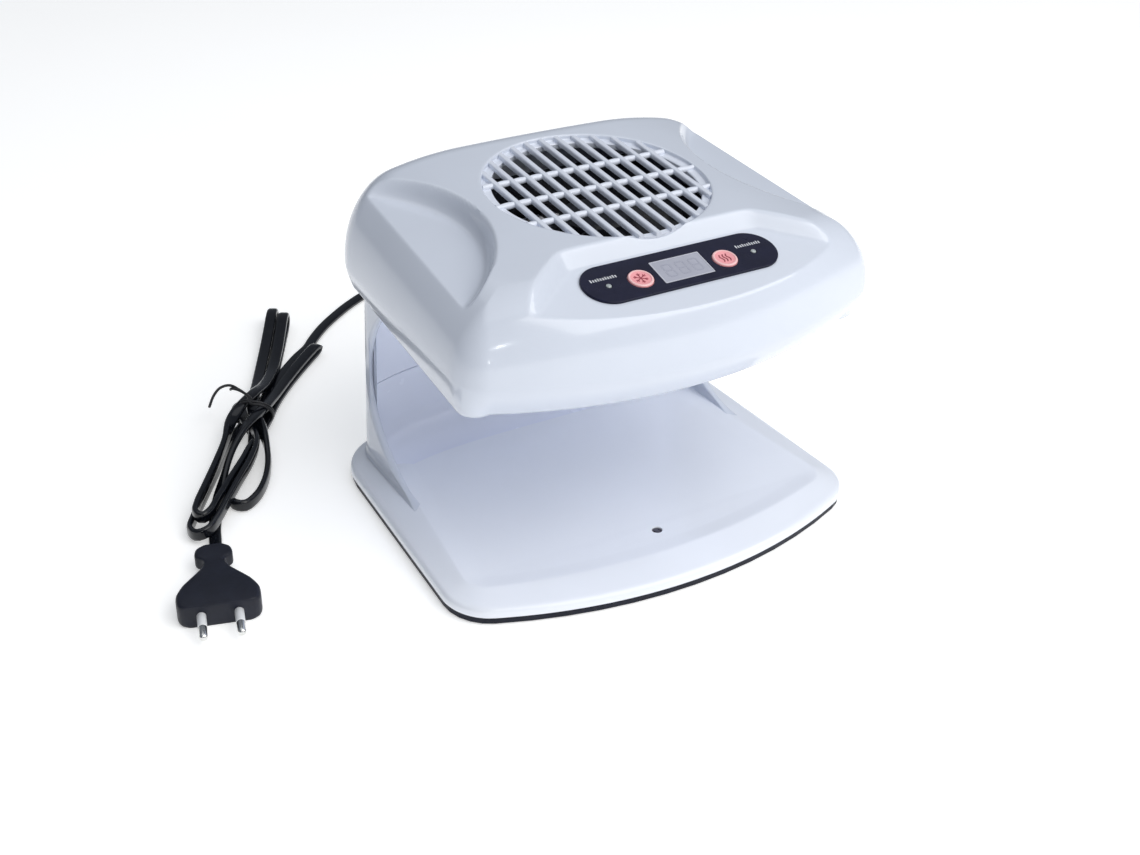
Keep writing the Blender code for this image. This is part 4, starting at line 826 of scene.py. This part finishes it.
# The hank's folds as (along its axis, across it, height, edge-on angle), measured from its tied waist
HANK_WAIST = (-152.6, 156.8)
HANK_AXIS = (0.463, 0.886)
HANK_FOLDS = (
    (97, 27, 2.5, 0), (82, 21, 2.6, 0), (58, 14, 3.0, 0), (33, 8.5, 3.6, 0), (10, 2, 3.8, 0),
    (-2, -1, 3.9, 5), (-14, -4.5, 4.0, 40), (-32, -9, 4.0, 85), (-57, -11.5, 4.0, 90),
    (-84, -14.5, 4.0, 90), (-106, -17, 4.2, 90), (-116.5, -16.8, 4.8, 90), (-122.8, -12, 6.0, 90),
    (-121, -5.8, 7.6, 90), (-112, -2.5, 8.6, 90), (-95, 1.0, 9.4, 90), (-75, 5.0, 10.2, 90),
    (-55, 9.0, 10.8, 90), (-36, 10.0, 10.8, 80), (-16, 4, 9.0, 35), (0, -2, 7.6, 0), (20, -1, 5.5, 0),
    (45, 0, 3.2, 0), (80, 0, 2.4, 0), (112, 0, 2.4, 0), (128, 0, 2.6, 0), (136, 0, 4.4, 0),
    (138.4, 0, 7.6, 0), (135.6, 0, 10.4, 0), (128, 0, 11.2, 0), (112, 0, 9.2, 0), (92, 0, 7.0, 0),
    (65, 0.2, 6.3, 0), (40, 0.8, 7.6, 0), (18, 1.6, 10.4, 0), (0, 3.2, 11.6, 0), (-15, 9.5, 11.0, 35),
    (-34, 15.5, 8.0, 85), (-53, 18.4, 5.4, 90), (-70, 18.0, 4.2, 90), (-84, 14.8, 4.0, 90),
    (-91.6, 9.6, 4.0, 90), (-90, 3.4, 4.2, 90), (-82, 1.0, 4.6, 90), (-66, 3.2, 5.2, 90),
    (-48, 6.2, 6.0, 90), (-30, 6.2, 7.0, 75), (-13, 5.6, 7.6, 25), (0, 5.6, 7.7, 0), (20, 7.4, 5.4, 0),
    (45, 8.4, 3.2, 0), (78, 8.6, 2.4, 0), (106, 8.5, 2.4, 0), (122, 8.4, 2.6, 0), (130, 8.3, 4.4, 0),
    (132.4, 8.2, 7.6, 0), (129.6, 8.2, 10.4, 0), (122, 8.2, 11.2, 0), (106, 8.3, 9.2, 0), (86, 8.4, 7.0, 0),
    (60, 8.0, 6.6, 0), (34, 6.4, 10.6, 0), (16, 2.2, 14.6, 0), (0, -3.6, 15.0, 0), (-15, -7.6, 13.4, 40),
    (-34, -8.6, 11.2, 85), (-57, -10.6, 10.6, 90), (-84, -13.4, 10.6, 90), (-100, -15.0, 10.6, 90),
    (-109, -14.4, 10.8, 90), (-113.4, -10.2, 11.0, 90), (-109.5, -6.8, 11.2, 90), (-95, -3.6, 11.2, 90),
    (-75, 0.4, 10.8, 90), (-55, 4.4, 10.2, 90), (-36, 6.4, 8.8, 70), (-18, 9.0, 5.4, 30), (0, 11.2, 4.3, 0),
    (20, 13.2, 3.5, 0), (42, 17.6, 2.8, 0), (62, 23.0, 2.4, 0), (80, 29.0, 2.6, 0), (90.5, 33.2, 3.6, 0),
    (93.0, 34.4, 5.4, 0), (90, 33.0, 7.2, 0), (81, 29.4, 7.2, 0), (64, 23.6, 6.8, 0), (44, 18.0, 7.0, 0),
    (22, 13.4, 8.8, 0), (2, 10.0, 12.4, 0), (-13, 6.0, 14.8, 10), (-28, 0.8, 14.2, 35),
    (-46, -3.4, 10.6, 60), (-64, -5.4, 6.8, 60), (-82, -6.2, 3.8, 25), (-98, -5.6, 2.3, 0),
    (-113, -4.2, 2.2, 0), (-124, -2.2, 2.7, 0), (-133, -0.6, 4.2, 0), (-142.5, 0.2, 6.0, 0),
    (-153.0, 1.4, 6.9, 0))


def hank_point(along, across, z):
    ax, ay = HANK_AXIS
    return (HANK_WAIST[0] + along * ax + across * ay, HANK_WAIST[1] + along * ay - across * ax, z)


def smooth_route(points, spacing):
    """Evenly spaced points on a Catmull-Rom curve whose knots follow the distances between the points."""
    p = np.array(points, float)
    p = np.vstack([2 * p[0] - p[1], p, 2 * p[-1] - p[-2]])
    knots = np.concatenate([[0], np.cumsum(np.linalg.norm(np.diff(p[:, :3], axis=0), axis=1) ** 0.5)])
    dense = []
    for k in range(1, len(p) - 2):
        t0, t1, t2, t3 = knots[k - 1:k + 3]
        for t in np.linspace(t1, t2, 24, endpoint=False):
            a1 = (t1 - t) / (t1 - t0) * p[k - 1] + (t - t0) / (t1 - t0) * p[k]
            a2 = (t2 - t) / (t2 - t1) * p[k] + (t - t1) / (t2 - t1) * p[k + 1]
            a3 = (t3 - t) / (t3 - t2) * p[k + 1] + (t - t2) / (t3 - t2) * p[k + 2]
            b1 = (t2 - t) / (t2 - t0) * a1 + (t - t0) / (t2 - t0) * a2
            b2 = (t3 - t) / (t3 - t1) * a2 + (t - t1) / (t3 - t1) * a3
            dense.append((t2 - t) / (t2 - t1) * b1 + (t - t1) / (t2 - t1) * b2)
    dense.append(p[-2])
    dense = np.array(dense)
    run = np.concatenate([[0], np.cumsum(np.linalg.norm(np.diff(dense[:, :3], axis=0), axis=1))])
    even = np.linspace(0, run[-1], round(run[-1] / spacing) + 1)
    return np.column_stack([np.interp(even, run, dense[:, axis]) for axis in range(dense.shape[1])]), run[-1]


def flat_section(count=20):
    """Outline of the flat two-core cord: two round cores with a shallow valley between them."""
    half, r = CORD_WIDE / 2, CORD_THICK / 2
    section = []
    for k in range(count):
        a = 2 * pi * k / count
        wide = half * np.sign(cos(a)) * abs(cos(a)) ** 0.75
        thick = r * np.sign(sin(a)) * abs(sin(a)) ** 0.75
        section.append((wide, thick * (1 - 0.10 * abs(sin(a)) ** 6)))
    return section


def flat_cord(name, route):
    """The flat cord along a route of (x, y, z, edge-on angle)."""
    path, length = smooth_route(route, 2.4)
    places, lean = path[:, :3], np.radians(path[:, 3])
    tangent = np.gradient(places, axis=0)
    tangent /= np.linalg.norm(tangent, axis=1)[:, None]
    rows, last = [], np.array([0.0, 0, 0])
    up = np.array([0.0, 0, 1])
    for place, t, angle in zip(places, tangent, lean):
        level = np.cross(t, up)
        if np.linalg.norm(level) < 0.15 and last.any():
            level = last
        level = level - t * (level @ t)
        level /= np.linalg.norm(level)
        if last.any() and level @ last < 0:
            level = -level
        last = level
        upright = np.cross(level, t)
        upright *= np.sign(upright[2]) or 1.0
        wide = level * cos(angle) + upright * sin(angle)
        thin = np.cross(t, wide)
        rows.append([place + wide * w + thin * h for w, h in flat_section()])
    for row, before in zip(rows[1:], rows):
        half = len(row) // 2
        straight = np.linalg.norm(np.array(row[0]) - before[0])
        crossed = np.linalg.norm(np.array(row[0]) - before[half])
        if straight > crossed:
            row[:] = row[half:] + row[:half]
    shape = grid_shape(rows, ends=(0, -1))
    replaced = ["power_cord", "cord_hank", "cord_lead"]
    cord = object_from(name, *shape, CORD_BLACK, "cord", replaced, smooth=50)
    return cord, places, length


def wire(name, route, thickness, skin, replaced):
    """A round wire along a smooth route, as a curve with filled ends."""
    places, _ = smooth_route(route, thickness)
    data = bpy.data.curves.new(name, "CURVE")
    data.dimensions = "3D"
    data.bevel_depth = thickness / 2 * MM
    data.bevel_resolution = 4
    data.use_fill_caps = True
    spline = data.splines.new("POLY")
    spline.points.add(len(places) - 1)
    for point, place in zip(spline.points, places):
        point.co = (*(place * MM), 1)
    data.materials.append(skin)
    piece = add_object(name, data)
    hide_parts(replaced)
    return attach(piece, "root")


def twist_tie():
    """Coated wire twice round the waist, with two loose ends bent over."""
    turns, half_wide, half_high, steps = [], 12.6, 8.3, 32
    for k in range(steps + 1):
        a = pi / 2 + 2 * pi * 2 * k / steps
        along = 3.0 - 5.0 * k / steps
        turns.append(hank_point(along, 3.0 + half_wide * cos(a), 9.4 + half_high * sin(a)))
    start = [(-157, 172, 20), (-157, 169.5, 22), (-153, 165, 21.5)]
    tail = [(-150, 161, 19), (-153, 168, 21), (-157, 173, 22.5), (-162.5, 174.5, 21.5), (-168, 171, 19.5),
            (-174, 163, 17)]
    return wire("twist_tie_wire", start + turns + tail, 1.7, TIE_BLACK, "twist_tie")


def cord_gland():
    """Strain relief: a collar on the back wall and a tapered, ringed sleeve."""
    face = COLUMN_REAR_Y - GLAND_X ** 2 / (2 * COLUMN_REAR_R) + 0.4
    profile = [(5.0, face - 4.0), (7.2, face), (7.6, face + 0.4), (7.6, face + 1.8), (7.2, face + 2.4),
               (6.2, face + 3.0)]
    ridge = ((0.8, -0.5), (0, 0), (0, 3.2), (0.3, 3.6), (0.9, 3.9), (0.9, 5.2))
    for k in range(4):
        y = face + 4.8 + 6.0 * k
        r = 6.2 - 0.45 * k
        profile += [(r - deep, y + on) for deep, on in ridge]
    profile += [(4.3, face + 29.4), (3.6, face + 29.8)]
    shape = turned_y(profile, 48, GLAND_X, GLAND_Z)
    return object_from("cord_gland_sleeve", *shape, PLUG_BLACK, "cord", ["cord_gland"], smooth=40)


def plug_place():
    return Matrix.Translation((*PLUG_AT, 0)) @ Matrix.Rotation(PLUG_TURN, 4, "Z")


def plug_outline(grow):
    """Plug body in plan: wide pin face, drawn-in neck, small collar; a negative grow narrows it."""
    corners = [(17.2, PLUG_FACE), (19.8, -10.6), (21.2, -8.0), (PLUG_HALF, -4.0), (21.2, 0.0), (18.6, 6.0),
               (14.8, 12.0), (11.0, 17.6), (7.8, 22.6), (5.9, 27.0), (5.6, 30.4), (7.2, 32.4), (9.6, 34.2),
               (10.0, 37.6), (9.2, 41.0), (7.0, 43.0), (5.4, 44.0), (4.4, 45.0)]
    right = smooth_route([(x, y, 0.0) for x, y in corners], 1.0)[0][:, :2]
    right = [(x + grow, y + (min(0.0, grow) if y > 44 else 0.0)) for x, y in right]
    return right + [(-x, y) for x, y in right[::-1]]


def plug_body():
    middle, half = PLUG_HIGH / 2 + 0.2, PLUG_HIGH / 2
    rows = []
    for share, grow in ((-1.0, -2.6), (-0.97, -1.5), (-0.9, -0.7), (-0.78, -0.2), (-0.6, 0.0), (0.6, 0.0),
                        (0.78, -0.2), (0.9, -0.7), (0.97, -1.5), (1.0, -2.6)):
        row = []
        for x, y in plug_outline(grow):
            slim = 1 - 0.36 * min(1.0, max(0.0, (y - 8.0) / 20.0))
            row.append((x, y, middle + share * half * slim))
        rows.append(row)
    shape = placed(grid_shape(rows, ends=(0, -1)), plug_place())
    return object_from("plug_moulding", *shape, PLUG_BLACK, "cord", ["plug_body"], smooth=45)


def plug_pins():
    """Two pins, each a white sleeve and a bare rounded tip."""
    middle = PLUG_HIGH / 2 + 0.2
    pieces = []
    for side, word in ((-1, "left"), (1, "right")):
        x = side * PIN_PITCH / 2
        bare = PLUG_FACE - SLEEVE_LENGTH
        end = PLUG_FACE - PIN_LENGTH
        sleeve = [(PIN_R - 0.3, PLUG_FACE + 1.0), (PIN_R, PLUG_FACE + 0.4), (PIN_R, bare + 0.2),
                  (PIN_R - 0.2, bare)]
        tip = [(PIN_R - 0.12, bare + 0.1)] + [(PIN_R - 0.12 - 1.9 * (1 - cos(a)), end + 1.9 - 1.9 * sin(a))
                                             for a in np.linspace(0, pi / 2, 8)]
        for name, profile, skin, slot, node in (
                (f"sleeve_{word}", sleeve, SLEEVE_WHITE, "pin_sleeve", f"pin_sleeve_{word}"),
                (f"pin_{word}", tip, PIN_NICKEL, "pin", f"plug_pin_{word}")):
            shape = placed(turned_y(profile, 40, x, middle), plug_place())
            pieces.append(object_from(name, *shape, skin, slot, [node]))
    return pieces


def mains_cord():
    route = [(*p, 0) for p in CORD_ROUTE] + [(*hank_point(u, s, z), turn) for u, s, z, turn in HANK_FOLDS]
    cord, places, length = flat_cord("mains_cord", route)
    pieces = [plug_body(), *plug_pins(), twist_tie(), cord_gland()]


# ---------------------------------------------------------------- CAD nodes that stay, with their finishes

KEPT = {
    MOULDING: ["fan_frame", "fan_rotor", "display_module", "cool_switch", "hot_switch", "capacitor"],
    STEEL: ["heater_shroud", "thermal_cutout", "fan_shaft"] + [f"cover_screw_{k}" for k in (1, 2, 3, 4)]
           + [f"fan_screw_{k}" for k in (1, 2, 3, 4)] + [f"plate_screw_{k}" for k in (1, 2, 3, 4, 5, 6)],
    RUBBER: [f"foot_{k}" for k in (1, 2, 3, 4)],
    PLATE_BLACK: ["bottom_plate"],
    BOARD: ["control_board", "hand_sensor_board", "power_board"],
    HEATER_WIRE: ["heater_coil"],
    MICA: ["heater_cross"],
    WINDING: ["transformer", "fan_motor"],
    RELAY_BLUE: ["relay"],
    LENS: ["hand_sensor_emitter"],
}


def finish_kept_nodes():
    for skin, names in KEPT.items():
        for name in names:
            slots = NODES[name].material_slots
            for place in slots:
                place.material = skin
            if not slots:
                NODES[name].data.materials.append(skin)


# ---------------------------------------------------------------- camera, floor and lights

CAMERA_AIM = (-20.16, -6.8, 50.01)
CAMERA_TURN, CAMERA_RISE, CAMERA_ROLL = radians(-31.25), radians(31.56), radians(1.67)
CAMERA_DISTANCE = 869.2
LENS_MM = 48.93


def make_camera():
    data = bpy.data.cameras.new("camera")
    data.lens = LENS_MM
    data.sensor_width = 36
    camera = add_object("camera", data)
    level = cos(CAMERA_RISE)
    back = Vector((sin(CAMERA_TURN) * level, -cos(CAMERA_TURN) * level, sin(CAMERA_RISE)))
    facing = back.to_track_quat("Z", "Y") @ Quaternion((0, 0, 1), CAMERA_ROLL)
    camera.location = (Vector(CAMERA_AIM) + back * CAMERA_DISTANCE) * MM
    camera.rotation_euler = facing.to_euler()
    bpy.context.scene.camera = camera


def make_floor():
    mesh = bpy.data.meshes.new("floor")
    half = 6.0
    corners = [(-half, -half, 0), (half, -half, 0), (half, half, 0), (-half, half, 0)]
    mesh.from_pydata(corners, [], [(0, 1, 2, 3)])
    paper = surface("floor_paper", (0.93, 0.93, 0.925), 0.85, vary=0.004, patch=300, grain=0.01,
                    grain_size=2.0)
    shader = paper.node_tree.nodes["Principled BSDF"]
    give(shader, {"Emission Color": (1, 1, 0.99, 1), "Emission Strength": 0.4})
    mesh.materials.append(paper)
    floor = add_object("floor", mesh)


def area_light(name, at, aim, size, power, colour=(1, 1, 1)):
    """A rectangular light from one place towards another, in metres."""
    data = bpy.data.lights.new(name, "AREA")
    data.shape = "RECTANGLE"
    data.size, data.size_y = size
    data.energy = power
    data.color = colour
    light = add_object(name, data)
    light.location = at
    light.rotation_euler = (Vector(aim) - Vector(at)).to_track_quat("-Z", "Y").to_euler()


def make_lights():
    world = bpy.data.worlds.new("studio")
    world.use_nodes = True
    sky = world.node_tree.nodes["Background"]
    give(sky, {"Color": (0.80, 0.87, 1.0, 1), "Strength": 0.2})
    bpy.context.scene.world = world
    area_light("front_soft", (0.6, -1.2, 1.45), (0, 0, 0.1), (2.4, 1.8), 35, (1.0, 0.99, 0.97))
    area_light("top_soft", (0.1, 0.3, 1.8), (0, 0, 0.1), (2.4, 2.4), 11, (0.95, 0.97, 1.0))
    area_light("upper_window", (-0.75, -1.35, 0.85), (-0.11, -0.1, 0.16), (0.07, 0.10), 0.45)
    area_light("lower_window", (-0.85, -1.35, 0.35), (-0.11, -0.1, 0.15), (0.06, 0.10), 0.4)
    bpy.context.scene.view_settings.view_transform = "Standard"


def main():
    make_camera()
    mains_cord()
    hood_cover()
    intake_grille()
    control_panel()
    base_shell()
    sensor_lens()
    inner_wall()
    liner_plate()
    outlet_grille()
    rear_shell()
    finish_kept_nodes()
    make_floor()
    make_lights()


main()
